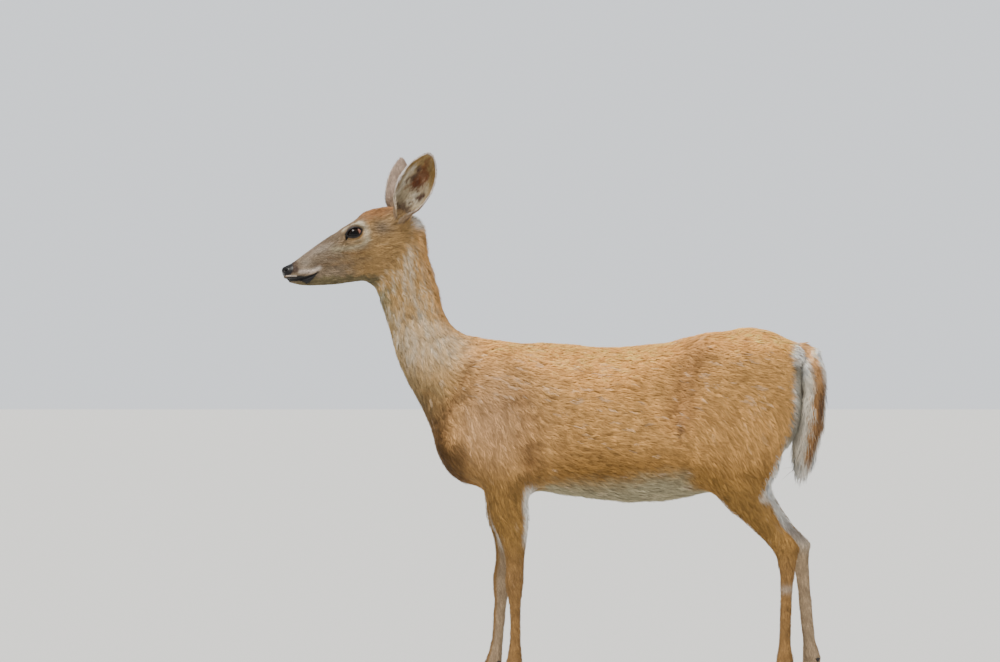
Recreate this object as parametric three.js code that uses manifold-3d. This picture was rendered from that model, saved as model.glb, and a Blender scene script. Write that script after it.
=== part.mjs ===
// White-tailed deer, a doe in her short summer coat, standing and alert.
// Millimetres, +Z up. She faces -Y, so her left side is +X and her tail is at +Y.
// Every section reaches out to the tips of the coat. The hoof soles lie at z = 0.
import * as THREE from 'three';
import { LoftGeometry } from 'three/addons/geometries/LoftGeometry.js';
import { mergeVertices } from 'three/addons/utils/BufferGeometryUtils.js';
import Module from 'manifold-3d';

// ---------------------------------------------------------------- driving dimensions
const GAP = 0.3;                    // between touching pieces
const LEFT = 1;                     // the sign of x on her left side
const RIGHT = -1;

// Trunk stations, chest to rump: y, height of the back, height of the belly,
// half width, height where it is widest.
const TRUNK = [
  [-225, 826, 585, 60, 690],
  [-170, 862, 517, 92, 695],
  [-75, 861, 503, 113, 665],
  [10, 857, 494, 128, 650],
  [100, 846, 482, 139, 640],
  [180, 849, 473, 140, 645],
  [260, 858, 475, 130, 665],
  [340, 871, 492, 113, 700],
  [420, 887, 530, 98, 725],
  [495, 886, 590, 86, 745],
  [514, 879, 634, 66, 748],
];
// Neck stations, withers to poll: y, z, reach to the nape, reach to the throat, half width.
const NECK = [
  [-205, 735, 120, 105, 80],
  [-262, 800, 88, 98, 68],
  [-302, 848, 82, 80, 58],
  [-331, 920, 71, 71, 49],
  [-352, 990, 72, 74, 46],
  [-372, 1052, 70, 82, 46],
  [-392, 1100, 50, 60, 42],
];

const NOSE_TIP = new THREE.Vector3(0, -651, 1022);
const HEAD_PITCH = THREE.MathUtils.degToRad(16.2);  // the muzzle points this far below level
const HEAD_YAW = THREE.MathUtils.degToRad(8);       // and turns this far to her left
const YAW_PIVOT_Y = -375;
// Skull and muzzle, nose to poll, in the head's frame: distance from the nose tip, centre height,
// reach up, reach down, half width.
const SKULL = [
  [15, -1, 13, 14, 20],
  [31, -4, 16, 16, 25],
  [78, 0, 29, 28, 28],
  [135, 7, 42, 42, 37],
  [178, 15, 43, 52, 50],
  [213, 20, 44, 58, 56],
  [246, 22, 56, 66, 55],
  [284, 16, 62, 68, 52],
  [318, 6, 43, 64, 46],
];
const JAW = [
  [22, -25, 12, 9, 13],
  [50, -34, 15, 14, 19],
  [114, -44, 22, 21, 24],
  [172, -42, 30, 32, 31],
  [208, -36, 36, 42, 36],
];
const EYE_RADIUS = 18;
const EYE = new THREE.Vector3(39, 189, 39);          // centre of the left eyeball, in the head's frame
const LID_TILT = -0.22;                              // the inner corner of the eye lies lower

const FORE_TOP = 560;                                // where each limb's own stations begin
const HIND_TOP = 640;
const KNEE_HEIGHT = 291;
const HOCK_HEIGHT = 358;
const CORONET_HEIGHT = 36;
const HOOF_LENGTH = 62;
const HOOF_WIDTH = 21;                               // one toe of the cloven hoof
const CLEFT = 3;                                     // between the two toes at the heel
const SPREAD = 0.08;                                 // how far the toes point apart
const DEWCLAW_LENGTH = 21;

// ---------------------------------------------------------------- materials
const finish = (color, roughness) => new THREE.MeshStandardMaterial({ color, roughness, metalness: 0 });
const COAT = '#b98a58';
const coat = () => finish(COAT, 0.85);
const paleCoat = () => finish('#cbb08c', 0.85);
const legCoat = () => finish('#b48250', 0.85);
const tailCoat = () => finish('#c9b494', 0.9);
const hornBlack = () => finish('#231d1a', 0.5);
const eyeBrown = () => finish('#120b07', 0.08);
const noseBlack = () => finish('#191717', 0.45);

// ---------------------------------------------------------------- smooth fields
// A field is negative inside the flesh, positive outside, and close to a distance in millimetres.
const X_AXIS = new THREE.Vector3(1, 0, 0);

/** Distance from an egg-shaped surface, along the ray from its centre. */
function eggDistance(across, up, along, side, reachUp, reachDown, reachAlong) {
  const reach = up > 0 ? reachUp : reachDown;
  const level = Math.hypot(across / side, up / reach, along / reachAlong);
  if (level < 1e-6) return -Math.min(side, reach);
  return Math.hypot(across, up, along) * (1 - 1 / level);
}

const MARGIN = 60;                  // a sweep is felt this far outside its flesh
const FAR_AWAY = 500;

/** Flesh swept through stations { at, up, down, side }, rounded at both ends. */
function sweep(stations, steps = 5) {
  const path = new THREE.CatmullRomCurve3(stations.map((s) => s.at), false, 'catmullrom', 0.5);
  const sizes = stations.map((s) => new THREE.Vector3(s.up, s.down, s.side));
  const sizePath = new THREE.CatmullRomCurve3(sizes, false, 'catmullrom', 0.5);
  const count = (stations.length - 1) * steps;
  const links = [];
  for (let i = 0; i < count; i++) {
    const start = path.getPoint(i / count);
    const end = path.getPoint((i + 1) / count);
    const length = start.distanceTo(end);
    const axis = end.clone().sub(start).divideScalar(length);
    const lateral = X_AXIS.clone().addScaledVector(axis, -axis.x).normalize();
    const dorsal = new THREE.Vector3().crossVectors(lateral, axis);
    const size = sizePath.getPoint(i / count);
    const grow = sizePath.getPoint((i + 1) / count).sub(size);
    links.push({ start, axis, length, lateral, dorsal, size, grow });
  }
  const reach = Math.max(...stations.map((s) => Math.max(s.up, s.down, s.side)));
  const bounds = new THREE.Box3().setFromPoints(stations.map((s) => s.at)).expandByScalar(reach + MARGIN);
  return (p) => {
    if (!bounds.containsPoint(p)) return FAR_AWAY;
    let nearest = Infinity;
    for (const link of links) {
      const x = p.x - link.start.x;
      const y = p.y - link.start.y;
      const z = p.z - link.start.z;
      const { axis, lateral, dorsal, size, grow } = link;
      const run = x * axis.x + y * axis.y + z * axis.z;
      const inside = THREE.MathUtils.clamp(run, 0, link.length);
      const t = inside / link.length;
      const across = x * lateral.x + y * lateral.y + z * lateral.z;
      const up = x * dorsal.x + y * dorsal.y + z * dorsal.z;
      const side = size.z + grow.z * t;
      const reachUp = size.x + grow.x * t;
      const reachDown = size.y + grow.y * t;
      const cap = Math.min(side, reachUp, reachDown);
      nearest = Math.min(nearest, eggDistance(across, up, run - inside, side, reachUp, reachDown, cap));
    }
    return nearest;
  };
}

/** An ellipsoid whose middle axis is tilted about X by `tilt`. */
function ellipsoid(centre, radii, tilt = 0) {
  const cos = Math.cos(tilt);
  const sin = Math.sin(tilt);
  return (p) => {
    const x = p.x - centre.x;
    const y = p.y - centre.y;
    const z = p.z - centre.z;
    const along = y * cos + z * sin;
    const up = z * cos - y * sin;
    return eggDistance(x, up, along, radii.x, radii.z, radii.z, radii.y);
  };
}

/** Union with a soft crease `k` millimetres wide. */
function blend(a, b, k) {
  const h = Math.max(k - Math.abs(a - b), 0) / k;
  return Math.min(a, b) - h * h * k / 4;
}

/** Hollow `b` out of `a`, with a soft edge. */
const hollow = (a, b, k) => -blend(-a, b, k);

const vec = (x, y, z) => new THREE.Vector3(x, y, z);
const station = (x, y, z, up, down, side) => ({ at: vec(x, y, z), up, down, side });

// ---------------------------------------------------------------- trunk and neck
function trunkField() {
  // The stations run from chest to rump, so the sweep's dorsal side is up.
  const stations = TRUNK.map(([y, top, bottom, side, wide]) => (
    station(0, y, wide, top - wide, wide - bottom, side)));
  const barrel = sweep(stations, 6);
  const shoulderBlade = ellipsoid(vec(66, -158, 735), vec(38, 62, 128), -0.32);
  const upperArm = ellipsoid(vec(72, -185, 600), vec(40, 92, 62), -0.35);
  const pointOfShoulder = ellipsoid(vec(50, -243, 628), vec(32, 40, 48), 0);
  const breastbone = ellipsoid(vec(0, -200, 577), vec(50, 75, 52), -0.5);
  const hipBone = ellipsoid(vec(58, 352, 838), vec(26, 34, 30), 0);
  const rump = ellipsoid(vec(44, 470, 800), vec(62, 92, 82), 0.25);
  const buttock = ellipsoid(vec(44, 518, 728), vec(42, 54, 104), 0.2);
  const dock = ellipsoid(vec(0, 556, 824), vec(36, 46, 32), -0.25);
  const flank = ellipsoid(vec(150, 285, 742), vec(46, 62, 78), 0.4);
  const behindShoulder = ellipsoid(vec(168, -38, 640), vec(56, 44, 130), -0.1);
  return (p) => {
    const q = vec(Math.abs(p.x), p.y, p.z);
    let d = barrel(p);
    d = blend(d, shoulderBlade(q), 40);
    d = blend(d, upperArm(q), 36);
    d = blend(d, pointOfShoulder(q), 40);
    d = blend(d, breastbone(q), 40);
    d = blend(d, hipBone(q), 44);
    d = blend(d, rump(q), 50);
    d = blend(d, buttock(q), 34);
    d = blend(d, dock(q), 30);
    d = hollow(d, flank(q), 70);
    return hollow(d, behindShoulder(q), 60);
  };
}

function neckField() {
  // From the withers up, the sweep's dorsal side is the nape.
  return sweep(NECK.map(([y, z, up, down, side]) => station(0, y, z, up, down, side)).reverse(), 5);
}

// ---------------------------------------------------------------- head
/** The head's own frame: x to her left, y from the nose tip to the poll, z square to that, up. */
function headPose() {
  const pitch = new THREE.Matrix4().makeRotationX(HEAD_PITCH).setPosition(NOSE_TIP);
  const toPivot = new THREE.Matrix4().makeTranslation(0, YAW_PIVOT_Y, 0);
  const fromPivot = new THREE.Matrix4().makeTranslation(0, -YAW_PIVOT_Y, 0);
  const yaw = new THREE.Matrix4().makeRotationZ(HEAD_YAW);
  return toPivot.multiply(yaw).multiply(fromPivot).multiply(pitch);
}
const HEAD = headPose();
const TO_HEAD = HEAD.clone().invert();
const fromHead = (x, y, z) => vec(x, y, z).applyMatrix4(HEAD);

function headField() {
  const stations = (rows) => rows.map(([y, z, up, down, side]) => station(0, y, z, up, down, side));
  const skull = sweep(stations(SKULL), 6);
  const jaw = sweep(stations(JAW), 5);
  const cheek = ellipsoid(vec(30, 222, -14), vec(22, 44, 38), 0.1);
  const cheekbone = ellipsoid(vec(45, 205, 12), vec(14, 44, 12), 0.2);
  const brow = ellipsoid(vec(35, 198, 46), vec(25, 36, 16), 0.24);
  const orbit = ellipsoid(vec(36, 189, 39), vec(23, 29, 25), 0.2);
  const forehead = ellipsoid(vec(0, 246, 58), vec(42, 32, 24), 0.1);
  const earRoot = ellipsoid(vec(38, 296, 44), vec(20, 24, 20), 0.3);
  const lip = ellipsoid(vec(17, 34, -14), vec(12, 34, 9), 0.06);
  const temple = ellipsoid(vec(74, 238, 62), vec(22, 26, 22), 0);
  return (p) => {
    const q = vec(p.x, p.y, p.z).applyMatrix4(TO_HEAD);
    const m = vec(Math.abs(q.x), q.y, q.z);
    let d = skull(q);
    d = blend(d, jaw(q), 22);
    d = blend(d, cheek(m), 24);
    d = blend(d, cheekbone(m), 16);
    d = blend(d, brow(m), 26);
    d = blend(d, orbit(m), 14);
    d = blend(d, forehead(m), 20);
    d = blend(d, earRoot(m), 20);
    d = blend(d, lip(m), 10);
    return hollow(d, temple(m), 14);
  };
}

// ---------------------------------------------------------------- leg fields
// The fore foot lies ahead of the fetlock, and the hind foot below and ahead of the hock.
// `sway` moves the leg along y: nothing at the trunk, all of it at the foot.
const FORE = {
  joint: KNEE_HEIGHT + 24,           // where the upper and lower leg are parted
  fetlock: 84,
  rows: [
    // y, z, reach behind, reach ahead, half width, x
    [-112, 560, 66, 62, 40, 74],
    [-110, 500, 55, 56, 35, 68],
    [-102, 440, 47, 48, 29, 63],
    [-95, 390, 35, 34, 25, 61],
    [-92, 335, 25, 25, 22, 60],
    [-92, 296, 24, 27, 23, 59],
    [-93, 262, 20, 21, 18, 58],
    [-92, 225, 16, 16, 14, 58],
    [-91, 150, 15, 15, 13, 57],
    [-93, 108, 17, 16, 14.5, 57],
    [-97, 82, 22, 19, 18, 57],
    [-112, 55, 17, 17, 17, 57],
    [-126, 36, 21, 20, 21, 57],
    [-134, 20, 20, 19, 20, 57],
  ],
};
const HIND = {
  joint: HOCK_HEIGHT + 34,
  fetlock: 91,
  rows: [
    [462, 650, 92, 96, 42, 70],
    [440, 590, 106, 104, 42, 76],
    [436, 545, 92, 90, 37, 77],
    [450, 502, 58, 62, 32, 75],
    [480, 455, 42, 43, 26, 73],
    [517, 405, 30, 31, 21, 72],
    [546, 366, 27, 28, 19, 71],
    [552, 330, 22, 24, 18, 70],
    [551, 290, 18, 18, 15, 69],
    [548, 200, 16, 16, 14, 68],
    [546, 125, 17, 17, 15, 67],
    [545, 90, 23, 20, 18, 67],
    [530, 60, 17, 17, 17, 67],
    [516, 36, 21, 20, 21, 67],
    [508, 20, 20, 19, 20, 67],
  ],
};

/** How far down the leg a height lies, 0 at the trunk and 1 at the foot. */
const downLeg = (z, top) => THREE.MathUtils.clamp((top - z) / top, 0, 1);

function legStations(plan, side, sway, top) {
  return plan.rows.map(([y, z, back, ahead, width, x]) => {
    const shift = sway * downLeg(z, top);
    // Going down, the sweep's dorsal side is the front of the leg.
    return station(side * x, y + shift, z, back, ahead, width);
  });
}

function hockField(side, sway) {
  const shift = sway * downLeg(HOCK_HEIGHT, HIND_TOP);
  return ellipsoid(vec(side * 71, 568 + shift, HOCK_HEIGHT + 22), vec(12, 13, 30), 0.5);
}

const LEGS = [
  { name: 'foreleg_left', plan: FORE, side: LEFT, sway: 0, top: FORE_TOP },
  { name: 'foreleg_right', plan: FORE, side: RIGHT, sway: -58, top: FORE_TOP },
  { name: 'hindleg_left', plan: HIND, side: LEFT, sway: 0, top: HIND_TOP },
  { name: 'hindleg_right', plan: HIND, side: RIGHT, sway: 82, top: HIND_TOP },
];

function legField({ plan, side, sway, top }) {
  const limb = sweep(legStations(plan, side, sway, top), 4);
  if (plan === FORE) return limb;
  const hock = hockField(side, sway);
  return (p) => blend(limb(p), hock(p), 16);
}

// ---------------------------------------------------------------- the whole body's field
const TRUNK_FIELD = trunkField();
const NECK_FIELD = neckField();
const HEAD_FIELD = headField();
const LEG_FIELDS = LEGS.map(legField);

function bodyField(p) {
  let d = blend(TRUNK_FIELD(p), NECK_FIELD(p), 60);
  d = blend(d, HEAD_FIELD(p), 26);
  for (const field of LEG_FIELDS) d = blend(d, field(p), 30);
  return d;
}

// ---------------------------------------------------------------- lofts cast onto a field
const RAY_LIMIT = 420;

/** Distance along a ray from inside the flesh to its surface, at most `reach`. */
function castRay(field, from, direction, reach) {
  const step = 7;
  const p = new THREE.Vector3();
  const at = (r) => field(p.copy(from).addScaledVector(direction, r));
  let inside = 0;
  let outside = step;
  while (outside < reach && at(outside) < 0) {
    inside = outside;
    outside += step;
  }
  if (outside >= reach) return reach;
  for (let i = 0; i < 13; i++) {
    const middle = (inside + outside) / 2;
    if (at(middle) < 0) inside = middle;
    else outside = middle;
  }
  return (inside + outside) / 2;
}

/**
 * One ring of points on the surface, in the plane square to `normal`, leaning by `lean` along it.
 * `flatness` is how many times longer than wide the ring is, so that its points lie evenly.
 */
function castRing(field, centre, normal, start, count, reachOf, flatness, lean = 0) {
  const a = start.clone().addScaledVector(normal, -start.dot(normal)).normalize();
  const b = new THREE.Vector3().crossVectors(normal, a);
  const ring = [];
  for (let i = 0; i < count; i++) {
    const turn = i / count * Math.PI * 2;
    const direction = a.clone().multiplyScalar(Math.cos(turn) * flatness);
    direction.addScaledVector(b, Math.sin(turn)).normalize();
    direction.multiplyScalar(Math.cos(lean)).addScaledVector(normal, Math.sin(lean));
    const r = castRay(field, centre, direction, reachOf(centre, direction));
    ring.push(centre.clone().addScaledVector(direction, r));
  }
  return ring;
}

/**
 * Rings cast from a path, each in its own plane. `keys` are [centre, normal] pairs, the path
 * runs smoothly through them, and `domed` ends it in a dome of that many leaning rings.
 */
function castLoft(field, keys, options) {
  const { rings, count, start, reachOf = () => RAY_LIMIT, domed = 0, flat = [1, 1] } = options;
  const centres = new THREE.CatmullRomCurve3(keys.map((k) => k[0]), false, 'catmullrom', 0.5);
  const normals = new THREE.CatmullRomCurve3(keys.map((k) => k[1]), false, 'catmullrom', 0.5);
  const sections = [];
  for (let i = 0; i <= rings; i++) {
    const centre = centres.getPoint(i / rings);
    const normal = normals.getPoint(i / rings).normalize();
    const flatness = THREE.MathUtils.lerp(flat[0], flat[1], i / rings);
    sections.push(castRing(field, centre, normal, start, count, reachOf, flatness));
  }
  const [lastCentre, lastNormal] = keys[keys.length - 1];
  const normal = lastNormal.clone().normalize();
  for (let i = 1; i <= domed; i++) {
    const lean = i / (domed + 0.4) * Math.PI / 2;
    sections.push(castRing(field, lastCentre, normal, start, count, reachOf, flat[1], lean));
  }
  return new LoftGeometry(sections, { capStart: true, capEnd: true });
}

// ---------------------------------------------------------------- solids that can be cut
const wasm = await Module();
wasm.setup();

/** Drop everything but the position, and share the vertices. */
function bare(geometry) {
  const flat = new THREE.BufferGeometry().copy(geometry);
  flat.deleteAttribute('normal');
  flat.deleteAttribute('uv');
  return mergeVertices(flat, 1e-4);
}

function toSolid(geometry) {
  const merged = bare(geometry);
  const vertProperties = Float32Array.from(merged.getAttribute('position').array);
  const triVerts = Uint32Array.from(merged.getIndex().array);
  return new wasm.Manifold(new wasm.Mesh({ numProp: 3, vertProperties, triVerts }));
}

function toGeometry(solid) {
  const mesh = solid.getMesh();
  const geometry = new THREE.BufferGeometry();
  geometry.setAttribute('position', new THREE.BufferAttribute(Float32Array.from(mesh.vertProperties), 3));
  geometry.setIndex(new THREE.BufferAttribute(Uint32Array.from(mesh.triVerts), 1));
  geometry.computeVertexNormals();
  return geometry;
}

const group = new THREE.Group();
function add(name, geometry, material) {
  const mesh = new THREE.Mesh(geometry, material);
  mesh.name = name;
  group.add(mesh);
}

// ---------------------------------------------------------------- where the limbs leave the trunk
// Each limb keeps its share of the shoulder or thigh, outside a sloping cut. The cut's outline in
// x and z is given at its front and at its back.
const FORE_CUT = {
  front: { y: -252, slope: [[0, 484], [24, 494], [46, 566], [78, 722]] },
  back: { y: -38, slope: [[0, 484], [24, 494], [60, 566], [92, 722]] },
};
const HIND_CUT = {
  front: { y: 312, slope: [[50, 440], [63, 520], [88, 565], [114, 706]] },
  back: { y: 640, slope: [[-10, 560], [0, 590], [26, 640], [60, 706]] },
};
const FAR_OUT = 300;                // the cuts reach this far to the side and below
const BELOW = -30;

function limbPrism(plan, side, gap) {
  const { front, back } = plan === FORE ? FORE_CUT : HIND_CUT;
  const section = ({ slope }, y) => {
    const [inner] = slope[0];
    const [, top] = slope[slope.length - 1];
    const outline = [
      [inner + gap, BELOW],
      ...slope.map(([x, z]) => [x + gap, z - gap]),
      [FAR_OUT, top - gap],
      [FAR_OUT, BELOW],
    ];
    return outline.map(([x, z]) => vec(side * x, y, z));
  };
  const sections = [section(front, front.y + gap), section(back, back.y - gap)];
  if (side === RIGHT) for (const ring of sections) ring.reverse();
  return toSolid(new LoftGeometry(sections, { capStart: true, capEnd: true }));
}

// ---------------------------------------------------------------- trunk
const NECK_BASE = vec(0, -243, 770);
const NECK_BASE_NORMAL = vec(0, 0.93, -0.37);
const TRUNK_FLOOR = 455;            // trunk rays that run down a leg stop here, and are cut off later

/** Stops a ray at the lowest height that the trunk needs. */
function aboveFloor(centre, direction) {
  if (direction.z >= 0) return RAY_LIMIT;
  return Math.min(RAY_LIMIT, (centre.z - TRUNK_FLOOR) / -direction.z);
}

function makeTrunk() {
  const keys = [
    [NECK_BASE, NECK_BASE_NORMAL],
    [vec(0, -195, 735), vec(0, 0.96, -0.28)],
    [vec(0, -140, 700), vec(0, 1, -0.08)],
    [vec(0, -60, 680), vec(0, 1, 0)],
    [vec(0, 40, 665), vec(0, 1, 0)],
    [vec(0, 140, 660), vec(0, 1, 0)],
    [vec(0, 240, 670), vec(0, 1, 0)],
    [vec(0, 340, 705), vec(0, 1, 0)],
    [vec(0, 430, 740), vec(0, 1, 0)],
    [vec(0, 505, 760), vec(0, 1, -0.1)],
  ];
  const loft = castLoft(bodyField, keys, {
    rings: 20, count: 28, start: vec(0, 0, 1), reachOf: aboveFloor, domed: 5, flat: [1.3, 1.2],
  });
  let solid = toSolid(loft);
  for (const leg of LEGS) solid = solid.subtract(limbPrism(leg.plan, leg.side, 0));
  return solid;
}

// ---------------------------------------------------------------- neck
const HEAD_JOINT = vec(0, -377, 1056);
const HEAD_JOINT_NORMAL = vec(0, -0.76, 0.65);

function makeNeck() {
  const up = (k) => k.clone().multiplyScalar(-1);
  const keys = [
    [NECK_BASE.clone().addScaledVector(up(NECK_BASE_NORMAL), GAP), up(NECK_BASE_NORMAL)],
    [vec(0, -290, 842), vec(0, -0.7, 0.72)],
    [vec(0, -322, 905), vec(0, -0.45, 0.9)],
    [vec(0, -345, 975), vec(0, -0.42, 0.91)],
    [HEAD_JOINT.clone().addScaledVector(HEAD_JOINT_NORMAL, -GAP), HEAD_JOINT_NORMAL],
  ];
  return castLoft(bodyField, keys, { rings: 9, count: 24, start: vec(0, 1, 0.3), flat: [1.2, 1.5] });
}

// ---------------------------------------------------------------- head
function headLoft(field) {
  const toNose = vec(0, -1, 0).transformDirection(HEAD);
  const keys = [
    [HEAD_JOINT, HEAD_JOINT_NORMAL],
    [vec(0, -390, 1084), vec(0, -0.893, 0.45)],
    [vec(0, -404, 1105), vec(0, -0.958, 0.287)],
    [fromHead(0, 226, 8), vec(0, -0.999, 0.037)],
    [fromHead(0, 174, -4), toNose],
    [fromHead(0, 120, -10), toNose],
    [fromHead(0, 72, -12), toNose],
    [fromHead(0, 34, -12), toNose],
  ];
  return castLoft(field, keys, { rings: 19, count: 25, start: vec(0, 0.3, 1), domed: 3, flat: [1.6, 1] });
}

// Outlines in the head's y and z: the bare nose pad, the mouth line and the back of the jaw.
const NOSE_PAD = [[-12, -12], [14, -14], [30, 0], [36, 26], [-12, 26]];
const MOUTH = [[-12, -17], [35, -28], [58, -31], [84, -25], [120, -42], [168, -54]];
const JAW_BACK = [[176, -120], [-12, -120]];
const ACROSS = 90;                   // half the width of a cut that goes right across the head

/** A prism across the head of an outline in its own y and z. */
function prismAcrossHead(outline) {
  const shape = new THREE.Shape(outline.map(([y, z]) => new THREE.Vector2(y, z)));
  const geometry = new THREE.ExtrudeGeometry(shape, { depth: 2 * ACROSS, bevelEnabled: false });
  geometry.rotateY(Math.PI / 2);
  geometry.rotateX(Math.PI / 2);
  geometry.translate(-ACROSS, 0, 0);
  geometry.applyMatrix4(HEAD);
  return toSolid(geometry);
}

function shifted(outline, dy, dz) {
  return outline.map(([y, z]) => [y + dy, z + dz]);
}

function eyeBall(side, radius) {
  const geometry = new THREE.SphereGeometry(radius, 12, 8);
  geometry.applyMatrix4(new THREE.Matrix4().makeTranslation(side * EYE.x, EYE.y, EYE.z));
  geometry.applyMatrix4(HEAD);
  return geometry;
}

/** The almond between the lids, as a solid to cut away. */
function eyeOpening(side) {
  const geometry = new THREE.SphereGeometry(EYE_RADIUS, 12, 8);
  geometry.scale(0.95, 0.98, 0.68);
  geometry.rotateX(LID_TILT);
  geometry.translate(side * (EYE.x + EYE_RADIUS), EYE.y, EYE.z);
  geometry.applyMatrix4(HEAD);
  return toSolid(geometry);
}

// ---------------------------------------------------------------- ears
// Along the ear from root to tip: fraction, radius of the rolled shell, half of the angle it wraps.
const EAR_ROLL = [
  [-0.16, 12, 168],
  [0, 17, 164],
  [0.1, 23, 146],
  [0.22, 33, 112],
  [0.36, 40, 88],
  [0.5, 45, 73],
  [0.64, 46, 61],
  [0.77, 44, 48],
  [0.88, 38, 35],
  [0.96, 31, 21],
  [1, 26, 9],
];
const EAR_THICKNESS = 7;
const EARS = [
  // root, tip and the way the cup opens, in the head's frame, how far it bows that way, and the
  // share of the roll's radius that it has
  {
    name: 'ear_left', root: [38, 309, 49], tip: [112, 405, 169],
    opens: [1, -0.42, -0.1], bow: -16, width: 1.03,
  },
  {
    name: 'ear_right', root: [-39, 326, 50], tip: [-128, 360, 174],
    opens: [-0.62, -0.78, -0.08], bow: 6, width: 1,
  },
];

function makeEar({ root, tip, opens, bow, width }) {
  const from = vec(...root);
  const to = vec(...tip);
  const axis = to.clone().sub(from).normalize();
  const front = vec(...opens);
  front.addScaledVector(axis, -front.dot(axis)).normalize();
  const across = new THREE.Vector3().crossVectors(axis, front);
  const middle = from.clone().lerp(to, 0.5).addScaledVector(front, bow);
  const spine = new THREE.QuadraticBezierCurve3(from, middle, to);
  const arcPoints = 9;
  const sections = EAR_ROLL.map(([f, roll, wrap]) => {
    const radius = width * roll;
    const half = THREE.MathUtils.degToRad(wrap);
    const thickness = EAR_THICKNESS * (1 - 0.35 * f);
    const foot = spine.getPoint(f);
    const point = (r, turn) => foot.clone()
      .addScaledVector(front, radius - r * Math.cos(turn) - 0.55 * radius)
      .addScaledVector(across, r * Math.sin(turn));
    const ring = [];
    for (let i = 0; i < arcPoints; i++) {
      ring.push(point(radius, half * (2 * i / (arcPoints - 1) - 1)));
    }
    for (let i = 0; i < arcPoints; i++) {
      ring.push(point(radius - thickness, half * (1 - 2 * i / (arcPoints - 1))));
    }
    return ring.reverse();
  });
  const geometry = new LoftGeometry(sections, { capStart: true, capEnd: true });
  geometry.applyMatrix4(HEAD);
  return geometry;
}

// ---------------------------------------------------------------- tail
// y, z, reach back, reach forward, half width
const TAIL = [
  [576, 839, 22, 20, 22],
  [604, 825, 24, 22, 27],
  [617, 790, 29, 25, 33],
  [617, 740, 31, 27, 41],
  [612, 680, 32, 32, 46],
  [603, 620, 32, 34, 45],
  [593, 565, 28, 28, 36],
  [586, 520, 18, 18, 20],
];

const TAIL_DOCK = 800;              // below this height the tail hangs free of the buttocks
const TAIL_CLEAR = 1.5;

function tailLoft() {
  const stations = TAIL.map(([y, z, back, front, side]) => station(0, y, z, back, front, side));
  const field = sweep(stations, 5);
  const hanging = (p) => (p.z < TAIL_DOCK ? Math.max(field(p), TAIL_CLEAR - bodyField(p)) : field(p));
  const keys = [
    [vec(0, 578, 827), vec(0, 0.9, -0.4)],
    [vec(0, 606, 808), vec(0, 0.45, -0.9)],
    [vec(0, 621, 770), vec(0, 0, -1)],
    [vec(0, 620, 700), vec(0, -0.05, -1)],
    [vec(0, 610, 630), vec(0, -0.12, -1)],
    [vec(0, 597, 570), vec(0, -0.18, -1)],
    [vec(0, 590, 535), vec(0, -0.18, -1)],
  ];
  return castLoft(hanging, keys, { rings: 9, count: 12, start: vec(0, 1, 0.4), domed: 2 });
}

// ---------------------------------------------------------------- legs and feet
// The coronet slopes: it is higher at the front of the foot than at the heel.
const CORONET_SLOPE = 0.42;
const CORONET_NORMAL = vec(0, -CORONET_SLOPE, -1).normalize();

/** The axis of a leg as keys for its loft, between two heights. */
function limbKeys(leg, high, low) {
  const stations = legStations(leg.plan, leg.side, leg.sway, leg.top);
  const path = new THREE.CatmullRomCurve3(stations.map((s) => s.at), false, 'catmullrom', 0.5);
  const steps = 200;
  const picked = [];
  for (let i = 0; i <= steps; i++) {
    const p = path.getPoint(i / steps);
    if (p.z <= high && p.z >= low) picked.push([p, path.getTangent(i / steps)]);
  }
  return picked;
}

/** Ring planes take the normal `above` at the top of the limb, and lie square to the bone below. */
function settle(keys, above, height) {
  return keys.map(([p, tangent]) => {
    const share = THREE.MathUtils.clamp((p.z - height) / 60, 0, 1);
    return [p, tangent.clone().lerp(above, share).normalize()];
  });
}

function thin(keys, count) {
  const out = [];
  for (let i = 0; i <= count; i++) out.push(keys[Math.round(i / count * (keys.length - 1))]);
  return out;
}

/** The knee or hock joint, where the upper and the lower leg are parted. */
function jointRing(leg, height) {
  const keys = limbKeys(leg, 999, 0);
  return keys.reduce((best, k) => (Math.abs(k[0].z - height) < Math.abs(best[0].z - height) ? k : best));
}

// The top of each limb's loft: x, y and z of its ring centres and the rings' normal there, which
// leans with the line of the flank behind. The rings settle to the bone below `settled`.
const FORE_UPPER = {
  centres: [[92, -160, 726], [86, -150, 640]],
  normal: vec(0, -0.08, -1),
  below: 545,
  settled: 420,
  reach: 165,
  count: 16,
};
const HIND_UPPER = {
  centres: [[62, 440, 812], [74, 440, 720], [80, 438, 650]],
  normal: vec(0, 0.5, -0.87),
  below: 600,
  settled: 500,
  reach: 200,
  count: 18,
};

/** Shoulder or thigh down to the knee or hock, outside the limb's cut. */
function upperLeg(leg) {
  const shape = leg.plan === FORE ? FORE_UPPER : HIND_UPPER;
  const joint = jointRing(leg, leg.plan.joint);
  const top = shape.centres.map(([x, y, z]) => [vec(leg.side * x, y, z), shape.normal]);
  const below = settle(limbKeys(leg, shape.below, joint[0].z + 12), shape.normal, shape.settled);
  const last = [joint[0].clone().addScaledVector(joint[1], -GAP), joint[1]];
  const keys = [...top, ...thin(below, 5), last];
  const loft = castLoft(bodyField, keys, {
    rings: 12, count: shape.count, start: vec(0, -1, 0), reachOf: () => shape.reach, flat: [2.6, 1],
  });
  return toGeometry(toSolid(loft).intersect(limbPrism(leg.plan, leg.side, GAP)));
}

function lowerLeg(leg, grow = 0) {
  const joint = jointRing(leg, leg.plan.joint);
  const below = limbKeys(leg, joint[0].z - 4, CORONET_HEIGHT + 3);
  const [foot] = below[below.length - 1];
  const coronet = [vec(foot.x, foot.y, CORONET_HEIGHT), CORONET_NORMAL];
  const keys = [joint, ...thin(below, 9).slice(0, -1), coronet];
  const field = LEG_FIELDS[LEGS.indexOf(leg)];
  return castLoft((p) => field(p) - grow, keys, { rings: 11, count: 10, start: vec(0, -1, 0) });
}

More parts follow.
